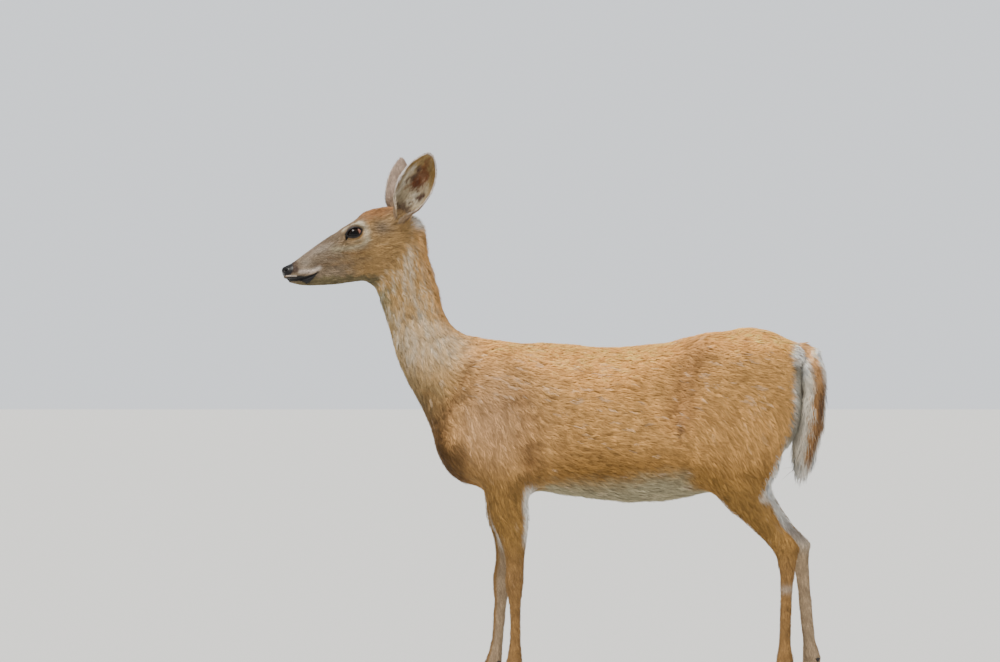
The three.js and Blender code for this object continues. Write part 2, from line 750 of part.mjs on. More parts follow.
const INNER_SHARE = 0.35;           // of a toe's width lies on its flatter, inner side

/** Outline of one toe seen from above: flat inside the cleft, curved outside, pointed in front. */
function toeOutline(length, width, count) {
  const points = [];
  for (let i = 0; i < count; i++) {
    const turn = i / count * Math.PI * 2;
    const along = Math.cos(turn);
    const across = Math.sin(turn);
    const taper = 1 - 0.62 * Math.max(0, along) ** 2;
    const share = across < 0 ? INNER_SHARE : 1 - INNER_SHARE;
    points.push([along * length / 2, across * width * share * taper]);
  }
  return points;
}

function makeToe(leg, inOrOut) {
  const [foot] = jointRing(leg, CORONET_HEIGHT);
  const count = 10;
  const footX = foot.x + inOrOut * (CLEFT / 2 + HOOF_WIDTH * INNER_SHARE * 1.04);
  const layers = [
    // share of the height, length, width, how far ahead of the coronet
    [1, 41, HOOF_WIDTH * 0.92, 0],
    [0.5, 52, HOOF_WIDTH, 7],
    [0, HOOF_LENGTH, HOOF_WIDTH * 1.04, 12],
  ];
  const sections = layers.map(([share, length, width, ahead]) => (
    toeOutline(length, width, count).map(([along, across]) => {
      const y = -(along + ahead);
      const coronet = CORONET_HEIGHT - CORONET_SLOPE * y - GAP;
      const x = footX + inOrOut * (across + SPREAD * Math.max(0, along));
      return vec(x, foot.y + y, share * coronet);
    })));
  // Seen from the sole, the outline runs clockwise on one side of the cleft.
  if (inOrOut === LEFT) for (const ring of sections) ring.reverse();
  return new LoftGeometry(sections, { capStart: true, capEnd: true });
}

function makeDewclaw(leg, inOrOut) {
  const [fetlock] = jointRing(leg, leg.plan.fetlock);
  const geometry = new THREE.LatheGeometry([
    new THREE.Vector2(0, 0),
    new THREE.Vector2(7.5, 0.5),
    new THREE.Vector2(5.4, DEWCLAW_LENGTH * 0.72),
    new THREE.Vector2(0, DEWCLAW_LENGTH),
  ], 6);
  geometry.rotateX(Math.PI * 0.82);
  geometry.translate(fetlock.x + inOrOut * 11, fetlock.y + 19, fetlock.z + 4);
  return toGeometry(toSolid(geometry).subtract(toSolid(lowerLeg(leg, GAP))));
}

// ---------------------------------------------------------------- the animal
add('trunk', toGeometry(makeTrunk()), coat());
add('neck', makeNeck(), coat());

let head = toSolid(headLoft(bodyField));
const nose = head.intersect(prismAcrossHead(NOSE_PAD));
head = head.subtract(prismAcrossHead(shifted(NOSE_PAD, GAP, -GAP)));
const jaw = head.intersect(prismAcrossHead([...shifted(MOUTH, 0, -GAP), ...JAW_BACK]));
head = head.subtract(prismAcrossHead([...MOUTH, ...JAW_BACK]));
for (const side of [LEFT, RIGHT]) {
  head = head.subtract(toSolid(eyeBall(side, EYE_RADIUS + GAP))).subtract(eyeOpening(side));
}
add('head', toGeometry(head), paleCoat());
add('lower_jaw', toGeometry(jaw), paleCoat());
add('nose', toGeometry(nose), noseBlack());
add('eye_left', eyeBall(LEFT, EYE_RADIUS), eyeBrown());
add('eye_right', eyeBall(RIGHT, EYE_RADIUS), eyeBrown());

const grownHead = toSolid(headLoft((p) => bodyField(p) - GAP));
for (const ear of EARS) add(ear.name, toGeometry(toSolid(makeEar(ear)).subtract(grownHead)), paleCoat());

const grownTrunk = toSolid(castLoft((p) => bodyField(p) - GAP, [
  [vec(0, 400, 730), vec(0, 1, 0)],
  [vec(0, 430, 740), vec(0, 1, 0)],
  [vec(0, 505, 760), vec(0, 1, -0.1)],
], { rings: 5, count: 28, start: vec(0, 0, 1), reachOf: aboveFloor, domed: 5, flat: [1.2, 1.2] }));
add('tail', toGeometry(toSolid(tailLoft()).subtract(grownTrunk)), tailCoat());

for (const leg of LEGS) {
  add(`${leg.name}_upper`, upperLeg(leg), legCoat());
  add(`${leg.name}_lower`, lowerLeg(leg), legCoat());
  for (const inOrOut of [LEFT, RIGHT]) {
    const which = inOrOut === leg.side ? 'outer' : 'inner';
    add(`hoof_${leg.name}_${which}`, makeToe(leg, inOrOut), hornBlack());
    add(`dewclaw_${leg.name}_${which}`, makeDewclaw(leg, inOrOut), hornBlack());
  }
}

// The origin lies on the floor, below the middle of her length and width.
const box = new THREE.Box3().setFromObject(group);
group.position.set(-(box.min.x + box.max.x) / 2, -(box.min.y + box.max.y) / 2, 0);

export default group;
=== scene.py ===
# %% [markdown]
# A white-tailed deer: a doe in her short summer coat, as a still, life-size model.
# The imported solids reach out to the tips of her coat. Here they get one seamless skin that lies
# inside them by the depth of the coat, eyes with lids, horn hooves, and a coat of fine tufts.
# Everything is in metres: she faces -Y, her left side is +X, and the floor is z = 0.

import math

import bmesh
import bpy
import numpy as np
from mathutils import Matrix, Vector
from mathutils.kdtree import KDTree


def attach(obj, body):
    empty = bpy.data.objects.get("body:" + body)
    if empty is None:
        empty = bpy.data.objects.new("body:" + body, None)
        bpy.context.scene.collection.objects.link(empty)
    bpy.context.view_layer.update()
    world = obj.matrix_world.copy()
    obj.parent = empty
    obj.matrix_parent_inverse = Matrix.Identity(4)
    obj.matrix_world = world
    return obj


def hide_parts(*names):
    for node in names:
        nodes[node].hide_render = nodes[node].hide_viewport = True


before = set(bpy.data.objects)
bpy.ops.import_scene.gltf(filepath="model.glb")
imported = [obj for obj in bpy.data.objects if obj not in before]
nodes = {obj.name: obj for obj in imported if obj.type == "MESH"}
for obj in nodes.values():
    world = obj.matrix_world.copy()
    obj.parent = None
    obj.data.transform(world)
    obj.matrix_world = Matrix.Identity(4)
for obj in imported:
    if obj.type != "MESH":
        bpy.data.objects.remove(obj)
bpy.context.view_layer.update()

# %% [markdown]
# A mesh of a hundred thousand points is far quicker to shape as one array than point by point. A
# soft step between 0 and 1 is the tool for every edge of a marking, and a sum of a few slanted waves
# is a cheap source of the small unevenness that every living surface has.

# %% Soft shapes on arrays
MM = 0.001
rng = np.random.default_rng(11)      # the one source of chance, seeded so that every run is alike


def soft_step(low, high, x):
    """0 below low, 1 above high, smooth between. Low may be the larger, and then it falls."""
    t = np.clip((x - low) / (high - low), 0.0, 1.0)
    return t * t * (3.0 - 2.0 * t)


def hump(x, centre, width):
    """1 at centre, falling to nearly 0 at two widths."""
    return np.exp(-(((x - centre) / width) ** 2))


def varied(low, span, total):
    """Chance values between low and low + span."""
    return low + span * rng.random(total)


def unit(v):
    return v / np.maximum(np.linalg.norm(v, axis=-1, keepdims=True), 1e-9)


def line_distance(points, line):
    """Distance of 2-D points from a line through several points, and how far along it, 0 to 1."""
    line = np.asarray(line, float)
    best = np.full(len(points), 1e9)
    along = np.zeros(len(points))
    for i in range(len(line) - 1):
        start, step = line[i], line[i + 1] - line[i]
        t = np.clip(((points - start) @ step) / (step @ step), 0.0, 1.0)
        d = np.linalg.norm(points - start - t[:, None] * step, axis=1)
        near = d < best
        best[near] = d[near]
        along[near] = ((i + t) / (len(line) - 1))[near]
    return best, along


def ripple(points, size, seed):
    """Smooth pseudo-random waves between about -1 and 1, each roughly `size` long."""
    draw = np.random.default_rng(seed)
    total = np.zeros(len(points))
    for _ in range(7):
        heading = draw.normal(size=3)
        heading *= (0.7 + 0.6 * draw.random()) * 2 * math.pi / size / np.linalg.norm(heading)
        total += np.sin(points @ heading + draw.random() * 6.28)
    return total / 2.6


print("half way up a soft step:", soft_step(0, 1, np.array(0.5)))

# %% [markdown]
# Positions and normals go between a mesh and an array in one call each. Smoothing needs to know which
# points are joined by an edge, so one small class reads the edges once and then averages any values
# over them, as often as wanted.

# %% Reading, placing and smoothing points
def positions(mesh):
    co = np.empty(len(mesh.vertices) * 3, np.float32)
    mesh.vertices.foreach_get("co", co)
    return co.reshape(-1, 3).astype(float)


def place(mesh, co):
    mesh.vertices.foreach_set("co", co.astype(np.float32).ravel())
    mesh.update()


def normals(mesh):
    n = np.empty(len(mesh.vertices) * 3, np.float32)
    mesh.vertex_normals.foreach_get("vector", n)
    return n.reshape(-1, 3).astype(float)


class Neighbours:
    """Averages any per-point values over the points that share an edge."""

    def __init__(self, mesh):
        pairs = np.empty(len(mesh.edges) * 2, np.int32)
        mesh.edges.foreach_get("vertices", pairs)
        self.a, self.b = pairs.reshape(-1, 2).T
        self.count = len(mesh.vertices)
        ends = np.concatenate([self.a, self.b])
        self.degree = np.maximum(np.bincount(ends, minlength=self.count), 1)

    def mean(self, values):
        values = np.asarray(values, float)
        if values.ndim == 1:
            total = np.bincount(self.a, values[self.b], self.count)
            return (total + np.bincount(self.b, values[self.a], self.count)) / self.degree
        return np.stack([self.mean(values[:, i]) for i in range(values.shape[1])], 1)

    def spread(self, values, times):
        for _ in range(times):
            values = 0.5 * values + 0.5 * self.mean(values)
        return values

    def soften(self, co, times, mask=1.0):
        """Plain smoothing, for broad forms and folds."""
        for _ in range(times):
            co = co + 0.5 * mask * (self.mean(co) - co)
        return co

    def relax(self, co, times, mask=1.0):
        """Taubin smoothing: evens out facets and hardly shrinks the form."""
        for _ in range(times):
            co = co + 0.5 * mask * (self.mean(co) - co)
            co = co - 0.52 * mask * (self.mean(co) - co)
        return co


print("first solid's points:", positions(next(iter(nodes.values())).data).shape)

# %% [markdown]
# The head is turned a little to her left and its muzzle points below level, so everything on the
# face is measured in the head's own frame: x to her left, s from the nose tip back to the poll, and
# t up, square to s. One matrix takes points from there to the room, and its inverse takes them back.

# %% The head's own frame
NOSE_TIP = (0.0, -651 * MM, 1022 * MM)
HEAD_PITCH = math.radians(16.2)
HEAD_YAW = math.radians(8.0)
YAW_PIVOT_Y = -375 * MM
Y_CENTRE = -0.00145           # the solids were centred on the floor after they were built
HEAD_LOW = 0.93               # everything in the head's own frame lies higher than this


def head_pose():
    pitch = Matrix.Translation(NOSE_TIP) @ Matrix.Rotation(HEAD_PITCH, 4, "X")
    pivot = Matrix.Translation((0, YAW_PIVOT_Y, 0))
    turned = pivot @ Matrix.Rotation(HEAD_YAW, 4, "Z") @ pivot.inverted() @ pitch
    return Matrix.Translation((0, Y_CENTRE, 0)) @ turned


HEAD = np.array(head_pose())
TO_HEAD = np.linalg.inv(HEAD)


def to_head(co):
    return co @ TO_HEAD[:3, :3].T + TO_HEAD[:3, 3]


def from_head(co):
    return co @ HEAD[:3, :3].T + HEAD[:3, 3]


def head_vectors(v):
    """Turns directions from the head's frame to the room's."""
    return v @ HEAD[:3, :3].T


def head_share(co):
    """1 on the head, falling to 0 behind the ears."""
    return soft_step(0.33, 0.30, to_head(co)[:, 1]) * (co[:, 2] > HEAD_LOW)


print("nose tip in the room:", from_head(np.zeros(3)).round(4))

# %% [markdown]
# The skin starts as copies of the fleshy solids, with their eyeballs in place to fill the sockets.
# A voxel remesh wraps them in one even mesh and bridges the thin gaps between them. Smoothing then
# takes away the facets. The ears and the tail are too thin for that mesh and are made on their own.

# %% Wrap the flesh in one mesh
LEGS = ("foreleg_left", "foreleg_right", "hindleg_left", "hindleg_right")
BODY_NODES = ["trunk", "neck", "head", "lower_jaw", "nose"]
BODY_NODES += [f"{leg}_{part}" for leg in LEGS for part in ("upper", "lower")]
SKIN_VOXEL = 5.8 * MM


def joined_copy(names):
    bm = bmesh.new()
    for name in names:
        bm.from_mesh(nodes[name].data)
    bmesh.ops.remove_doubles(bm, verts=bm.verts, dist=1e-5)
    mesh = bpy.data.meshes.new("flesh")
    bm.to_mesh(mesh)
    bm.free()
    return mesh


def with_modifier(mesh, kind, **settings):
    """The mesh after one modifier, as a new mesh."""
    obj = bpy.data.objects.new("working", mesh)
    bpy.context.scene.collection.objects.link(obj)
    modifier = obj.modifiers.new(kind, kind)
    for key, value in settings.items():
        setattr(modifier, key, value)
    graph = bpy.context.evaluated_depsgraph_get()
    made = bpy.data.meshes.new_from_object(obj.evaluated_get(graph))
    bpy.data.objects.remove(obj)
    return made


flesh = joined_copy(BODY_NODES + ["eye_left", "eye_right"])
skin_mesh = with_modifier(flesh, "REMESH", mode="VOXEL", voxel_size=SKIN_VOXEL)
near = Neighbours(skin_mesh)
co = near.relax(positions(skin_mesh), 8)
# The barrel and the neck are broad forms, free of small facets.
barrel = soft_step(0.44, 0.50, co[:, 2]) * soft_step(-0.47, -0.42, co[:, 1])
place(skin_mesh, near.soften(co, 24, barrel[:, None]))
print("skin after the remesh:", len(skin_mesh.vertices), "points")

# %% [markdown]
# The solids meet in hard steps where the thigh and the shoulder leave the trunk. On the animal these
# are soft folds, so the skin there is smoothed more.

# %% Soften the folds
FOLDS = [  # centre y, z and reach of the places to soften
    (0.345, 0.560, 0.110), (0.330, 0.500, 0.090), (0.580, 0.640, 0.090), (0.520, 0.560, 0.100),
    (-0.060, 0.520, 0.080), (-0.220, 0.560, 0.090), (-0.150, 0.520, 0.080), (-0.235, 0.690, 0.060),
]
co = positions(skin_mesh)
fold = np.zeros(len(co))
for y, z, reach in FOLDS:
    fold = np.maximum(fold, soft_step(reach, 0.4 * reach, np.hypot(co[:, 1] - y, co[:, 2] - z)))
place(skin_mesh, near.relax(near.soften(co, 18, fold[:, None]), 6))
print("points in the folds:", int((fold > 0.5).sum()))

# %% [markdown]
# The head is divided finer than the body, and finest round the eyes, the nostrils and the mouth,
# where small shapes have to fit. Every face that is cut gives four, and the mesh is relaxed again.

# %% Refine the head
EYE = np.array([39.0, 189.0, 39.0]) * MM
MOUTH_LINE = np.array([(-4, -18), (35, -28.7), (56, -31), (72, -28.4), (84, -24)]) * MM


def refine(mesh, wanted):
    """Divides in four the faces whose middle passes the test, which gets points in the head's frame."""
    bm = bmesh.new()
    bm.from_mesh(mesh)
    bm.faces.ensure_lookup_table()
    middles = np.array([f.calc_center_median() for f in bm.faces])
    chosen = np.nonzero(wanted(to_head(middles), middles))[0]
    edges = {e for i in chosen for e in bm.faces[i].edges}
    bmesh.ops.subdivide_edges(bm, edges=list(edges), cuts=1, use_grid_fill=True)
    bm.to_mesh(mesh)
    bm.free()


def on_head(q, p):
    return (q[:, 1] < 0.315) & (p[:, 2] > HEAD_LOW) & (q[:, 2] > -0.13) & (p[:, 1] < -0.30)


def on_features(q, _):
    eye = np.linalg.norm(np.abs(q) - EYE, axis=1) < 0.034
    nose = (q[:, 1] < 0.040) & (q[:, 2] > -0.05)
    lips = (line_distance(q[:, 1:], MOUTH_LINE)[0] < 0.010) & (q[:, 1] < 0.10)
    return eye | nose | lips


for wanted, times in ((on_head, 5), (on_features, 3)):
    refine(skin_mesh, wanted)
    near = Neighbours(skin_mesh)
    co = positions(skin_mesh)
    head_mask = head_share(co)
    place(skin_mesh, near.relax(co, times, head_mask[:, None]))
print("skin after refining:", len(skin_mesh.vertices), "points")

# %% [markdown]
# Each part of the body has its own depth of coat and its own lie of the hair. Each point of the skin
# takes those of the nearest solid. Later both are spread along the skin until they change smoothly,
# as they do on the animal: back from the nose, down the neck, back along the flanks.

# %% Depth and lie of the coat by part
DOWN_LEG = (0.0, 0.10, -1.0)
COAT = {  # depth in mm, and the way the hair points
    "trunk": (7.0, (0.0, 0.95, -0.22)),
    "neck": (8.0, (0.0, 0.42, -0.90)),
    "head": (3.2, tuple(head_vectors(np.array([0.0, 0.95, -0.16])))),
    "lower_jaw": (2.6, tuple(head_vectors(np.array([0.0, 0.97, -0.10])))),
    "nose": (0.4, tuple(head_vectors(np.array([0.0, 0.9, 0.1])))),
    "foreleg": (4.5, (0.0, 0.40, -0.90)),
    "hindleg": (5.5, (0.0, 0.72, -0.70)),
    "lower": (2.6, DOWN_LEG),
}


def coat_of(name):
    if name.endswith("_lower"):
        return COAT["lower"]
    return COAT[name[:7] if name.endswith("_upper") else name]


def nearest_solid(co):
    tree_points, owners = [], []
    for k, name in enumerate(BODY_NODES):
        mesh = nodes[name].data
        corners = positions(mesh)
        middles = np.array([p.center for p in mesh.polygons])
        both = np.concatenate([corners, middles])
        tree_points.append(both)
        owners += [k] * len(both)
    tree_points = np.concatenate(tree_points)
    tree = KDTree(len(tree_points))
    for i, p in enumerate(tree_points):
        tree.insert(p, i)
    tree.balance()
    return np.array([owners[tree.find(p)[1]] for p in co])


co = positions(skin_mesh)
owner = nearest_solid(co)
print("points by solid:", dict(zip(BODY_NODES, np.bincount(owner).tolist())))

# %% [markdown]
# Now the skin sinks below the outline by the depth of its coat. On the muzzle and over the pastern
# the hair is shortest and the skin nearly touches the outline.

# %% Sink the skin under the coat
depth = np.array([coat_of(n)[0] for n in BODY_NODES])[owner] * MM
lie = np.array([coat_of(n)[1] for n in BODY_NODES])[owner]
muzzle = soft_step(0.12, 0.03, to_head(co)[:, 1]) * (co[:, 2] > HEAD_LOW)
depth = depth * (1 - 0.55 * muzzle)
lie = np.where(head_mask[:, None] > 0.5, near.spread(lie, 40), near.spread(lie, 160))
depth = near.spread(depth, 30)
depth *= 1 - 1.1 * soft_step(0.16, 0.10, co[:, 2])      # the skin is tight over the pastern

co -= normals(skin_mesh) * depth[:, None]
co = near.relax(co, 2)
co[:, 2] -= 10 * MM * soft_step(0.080, 0.048, co[:, 2])  # it runs down inside the hooves
place(skin_mesh, co)
print("coat depth in mm:", depth.min() / MM, "to", depth.max() / MM)

# %% [markdown]
# Muscles and folds give a short-haired animal its look. Grooves and swells are pushed along the
# skin's normal by soft functions of y and z: the groove ahead of the shoulder, the hollow behind the
# elbow, the fold of the flank, the hip, the end of the croup and the tendon above the hock.

# %% Muscles and folds of the body
GROOVES = [  # name, line of (y, z), width and depth in mm
    ("ahead of the shoulder", [(-0.205, 0.800), (-0.222, 0.755), (-0.250, 0.690)], 16, 5.0),
    ("behind the shoulder blade", [(-0.085, 0.800), (-0.060, 0.700), (-0.062, 0.600)], 26, 4.0),
    ("behind the elbow", [(-0.064, 0.620), (-0.062, 0.555)], 13, 5.0),
    ("front of the thigh", [(0.322, 0.850), (0.300, 0.780), (0.292, 0.700), (0.286, 0.625)], 20, 9.0),
    ("flank fold", [(0.290, 0.650), (0.292, 0.605)], 9, 6.0),
    ("between the thigh muscles", [(0.520, 0.760), (0.480, 0.640), (0.470, 0.560)], 16, 2.5),
    ("edge of the ribs", [(0.050, 0.560), (0.160, 0.600), (0.240, 0.680)], 26, 2.5),
    ("tendon above the hock", [(0.512, 0.470), (0.533, 0.415)], 7, 4.0),
]
SWELLS = [  # name, y, z, radius, height in mm
    ("hip bone", 0.352, 0.838, 34, 6.0),
    ("front of the haunch", 0.372, 0.762, 42, 5.0),
    ("point of the shoulder", -0.232, 0.632, 38, 4.0),
    ("shoulder blade ridge", -0.150, 0.760, 46, 3.5),
    ("thigh", 0.440, 0.690, 80, 5.0),
    ("elbow", -0.080, 0.545, 22, 4.0),
    ("stifle", 0.345, 0.560, 36, 5.0),
]
CROUP = (0.583, 0.842, 30, 9.0)     # the end of the croup above the tail, which faces up

co = positions(skin_mesh)
n = normals(skin_mesh)
side_on = np.abs(n[:, 0])
push = np.zeros(len(co))
for _, line, width, deep in GROOVES:
    gap, along = line_distance(co[:, 1:], line)
    ends = soft_step(0.0, 0.25, along) * soft_step(1.0, 0.75, along)
    push -= deep * MM * hump(gap, 0, width * MM) * ends * side_on
for _, y, z, reach, height in SWELLS:
    push += height * MM * hump(np.hypot(co[:, 1] - y, co[:, 2] - z), 0, reach * MM) * side_on
y, z, reach, height = CROUP
push += height * MM * hump(np.hypot(co[:, 1] - y, co[:, 2] - z), 0, reach * MM)
RIB_HEIGHT, RIB_SPACING = 0.66, 0.034
ribs = hump(co[:, 1], 0.06, 0.13) * hump(co[:, 2], RIB_HEIGHT, 0.09) * side_on
slanted = co[:, 1] + 0.35 * (co[:, 2] - RIB_HEIGHT)
push += 0.8 * MM * ribs * np.sin(slanted / RIB_SPACING * 2 * math.pi)
push *= 1 - head_mask
push += 0.9 * MM * ripple(co, 0.09, 3) * (1 - head_mask)
place(skin_mesh, co + n * push[:, None])
print("deepest groove and highest swell in mm:", push.min() / MM, push.max() / MM)

# %% [markdown]
# The eye sits in a socket with two lids. Seen from the side the slit between them is an almond whose
# inner corner lies lower. Inside the almond the skin sinks behind the eyeball, except at the rear
# corner, where a fold of wet skin covers it. Outside the almond the skin lies on the lids, which hug
# a slightly larger ball, and blends into the face over a centimetre.

# %% Lids
EYE_RADIUS = 18 * MM
LID_CENTRE = np.array([37.6, 189.0, 39.0]) * MM
LID_RADIUS = 20.6 * MM
SLIT = np.array([190.0, 42.0]) * MM          # middle of the almond, s and t
SLIT_HALF = 17.8 * MM
SLIT_UP, SLIT_DOWN = 11.4 * MM, 10.4 * MM
SLIT_TILT = 0.03
REAR_CORNER = 11.0 * MM      # from here to the rear corner a fold of wet skin covers the ball
SLIT_POWERS = (1.75, 1.6)


def slit_frame(s, t):
    cos, sin = math.cos(SLIT_TILT), math.sin(SLIT_TILT)
    ds, dt = s - SLIT[0], t - SLIT[1]
    return ds * cos + dt * sin, dt * cos - ds * sin


def lid_level(s, t):
    """1 on the edge of the lids, less inside the slit and more outside."""
    u, v = slit_frame(s, t)
    tall = np.where(v > 0, SLIT_UP, SLIT_DOWN)
    return np.abs(u / SLIT_HALF) ** SLIT_POWERS[0] + np.abs(v / tall) ** SLIT_POWERS[1]


def ball_x(s, t, centre, radius):
    away = (s - centre[1]) ** 2 + (t - centre[2]) ** 2
    return centre[0] + np.sqrt(np.maximum(radius**2 - away, (0.25 * radius) ** 2))


co = positions(skin_mesh)
q = to_head(co)
side = np.sign(q[:, 0])
x, s, t = np.abs(q[:, 0]), q[:, 1], q[:, 2]
close = (x > 0.022) & (np.hypot(s - EYE[1], t - EYE[2]) < 0.040)
level = np.where(close, lid_level(s, t), 9.0)
u, v = slit_frame(s, t)
lid_x = ball_x(s, t, LID_CENTRE, LID_RADIUS)
inside_x = ball_x(s, t, EYE, EYE_RADIUS) - 3.5 * MM
outward = soft_step(3.6, 1.0, level)
new_x = x * (1 - outward) + lid_x * outward
sunk_x = np.where(u > REAR_CORNER, lid_x - 1.8 * MM, inside_x)
new_x = np.where(level < 0.98, sunk_x, new_x)
crease = hump(level, 2.0, 0.35) * soft_step(-0.001, 0.004, v) * (level > 1)
under = hump(level, 2.3, 0.5) * soft_step(0.0, -0.005, v) * (level > 1)
new_x -= 1.6 * MM * crease + 0.9 * MM * under
brow = np.exp(-(((s - 0.190) / 0.022) ** 2) - (((t - 0.060) / 0.007) ** 2)) * (x > 0.02)
new_x += 0.7 * MM * brow
q[:, 0] = side * np.where(close, new_x, x)
place(skin_mesh, from_head(q))
print("points on the lids:", int(((level > 1) & (level < 1.6)).sum()))

# %% [markdown]
# The muzzle ends in a bare, moist pad with a comma-shaped nostril on each side. Behind it the mouth
# runs back as a fine line between black lips. Short creases cross the cheek, and below the inner
# corner of the eye lies the pit of the tear gland.

# %% Nostrils, mouth and creases of the face
FACE_GROOVES = [  # line of (s, t) in mm, width and depth in mm
    ([(-4, -18), (35, -28.7), (56, -31), (72, -28.4), (84, -24)], 1.5, 2.6),
    ([(168, 31), (161, 26), (154, 20)], 2.4, 2.6),
    ([(95, -9), (112, -10.5)], 2.6, 1.0),
    ([(117, 2), (128, -4), (140, -8)], 2.6, 1.3),
    ([(193, -27), (207, -40)], 3.6, 1.3),
    ([(84, -24), (104, -21), (132, -25)], 5.0, 1.2),
    ([(150, 8), (178, 12), (204, 14)], 5.0, 1.2),
    ([(8, 7), (16, 9.5), (22, 8)], 1.6, 1.8),
]
NOSTRIL = np.array([15.5, 10.5, 1.0])     # x, s and t in mm
NOSTRIL_SIZE = np.array([6.0, 5.4, 3.6])

co = positions(skin_mesh)
n = normals(skin_mesh)
q = to_head(co)
x, s, t = np.abs(q[:, 0]), q[:, 1], q[:, 2]
flat = np.stack([s, t], 1)
push = np.zeros(len(co))
for line, width, deep in FACE_GROOVES:
    gap, along = line_distance(flat, np.array(line) * MM)
    fade = soft_step(0.0, 0.3, along) * soft_step(1.0, 0.7, along) if deep < 2 else 1.0
    push -= deep * MM * hump(gap, 0, width * MM) * fade * (x > 0.004)
lip_gap, _ = line_distance(flat, MOUTH_LINE)
push += 1.3 * MM * hump(lip_gap, 4.5 * MM, 2.6 * MM) * (s < 0.09) * (x > 0.004)
pit = np.linalg.norm((np.stack([x, s, t], 1) / MM - NOSTRIL) / NOSTRIL_SIZE, axis=1)
push -= 5.0 * MM * soft_step(1.15, 0.5, pit)
push += 1.2 * MM * hump(pit, 1.5, 0.3) * (s > -0.002)
push *= (head_mask > 0.02) & (s < 0.26)
philtrum = hump(x, 0, 1.0 * MM) * soft_step(0.012, 0.004, s) * soft_step(0.010, 0.0, t)
push -= 1.0 * MM * philtrum
place(skin_mesh, co + n * push[:, None])
print("face shaped; deepest point in mm:", push.min() / MM)

# %% [markdown]
# An ear is a thin leaf of gristle rolled into a funnel at its root and open above. One function lays
# any point of a flat sheet on it: along a curved spine, and round it by an angle that shrinks towards
# the tip. Her left ear opens to her left, and her right one forwards and to her right.

# %% Form of the ears
EAR_ROLL = np.array([  # fraction of the length, radius in mm, half of the angle it wraps in degrees
    (-0.16, 12, 168), (0, 17, 164), (0.1, 23, 146), (0.22, 33, 112), (0.36, 40, 88), (0.5, 45, 73),
    (0.64, 46, 61), (0.77, 44, 48), (0.88, 38, 35), (0.96, 31, 21), (1, 26, 9),
], float)
EARS = {  # root, tip, opening, how far the spine bows that way, share of the radius; head's frame, mm
    "ear_left": ((38, 309, 49), (112, 405, 169), (1, -0.42, -0.1), -16, 1.03),
    "ear_right": ((-39, 326, 50), (-128, 360, 174), (-0.62, -0.78, -0.08), 6, 1.0),
}
EAR_INSET = 2.4               # from the coat's outer face to the middle of the gristle, in mm
EAR_WALL = 2.4


def ear_surface(root, tip, opens, bow, width, f, g, inset):
    """Points on a rolled ear, in the head's frame: f runs to the tip, g from rim to rim, -1 to 1."""
    root, tip, opens = (np.array(v, float) for v in (root, tip, opens))
    axis = (tip - root) / np.linalg.norm(tip - root)
    front = opens - axis * (opens @ axis)
    front /= np.linalg.norm(front)
    across = np.cross(axis, front)
    middle = (root + tip) / 2 + front * bow
    radius = width * np.interp(f, EAR_ROLL[:, 0], EAR_ROLL[:, 1])[:, None]
    turn = g[:, None] * np.radians(np.interp(f, EAR_ROLL[:, 0], EAR_ROLL[:, 2]))[:, None]
    k = f[:, None]
    foot = (1 - k) ** 2 * root + 2 * k * (1 - k) * middle + k**2 * tip
    r = radius - inset
    point = foot + front * (0.45 * radius - r * np.cos(turn)) + across * (r * np.sin(turn))
    outward = -front * np.cos(turn) + across * np.sin(turn)
    around = front * np.sin(turn) + across * np.cos(turn)
    return point, outward, around, axis


for name, (root, tip, *_) in EARS.items():
    print(name, "length in mm:", round(math.dist(root, tip)))

# %% [markdown]
# The sheet is a grid with a few shallow waves, and a Solidify modifier gives it its wall. Each point
# of the wall keeps how far up the ear it lies, how far round, and which face it is on.

# %% Build the ears
def make_ear(shape):
    bm = bmesh.new()
    bmesh.ops.create_grid(bm, x_segments=44, y_segments=30, size=1)
    flat = np.array([v.co for v in bm.verts])
    f = (flat[:, 0] + 1) / 2 * 1.12 - 0.13
    g = flat[:, 1] * 0.985
    point, outward, around, axis = ear_surface(*shape, f, g, EAR_INSET)
    wave = 0.8 * np.sin(f * 21 + g * 3) * (1 - g**2)
    for v, p in zip(bm.verts, point + outward * wave[:, None]):
        v.co = from_head(p * MM)
    mesh = bpy.data.meshes.new("ear")
    bm.to_mesh(mesh)
    bm.free()
    wall = with_modifier(mesh, "SOLIDIFY", thickness=EAR_WALL * MM, offset=0)
    links = Neighbours(wall)
    co = links.relax(positions(wall), 2)
    place(wall, co)
    tree = KDTree(len(point))
    for i, p in enumerate(point):
        tree.insert(p, i)
    tree.balance()
    q = to_head(co) / MM
    found = np.array([tree.find(p)[1] for p in q])
    outer = ((q - point[found]) * outward[found]).sum(1) > 0
    return wall, f[found], g[found], outer, around[found], axis


ears = {name: make_ear(shape) for name, shape in EARS.items()}
for name, (mesh, *_) in ears.items():
    volume = bmesh.new()
    volume.from_mesh(mesh)
    if volume.calc_volume(signed=True) < 0:
        mesh.flip_normals()
    volume.free()
    print(name, "points:", len(mesh.vertices))

# %% [markdown]
# The tail is mostly hair. Its core is slender and flat, and a ball squeezed onto its sections gives
# a closed form with no seam. The long hair grown on it later fills the outline of the solid.

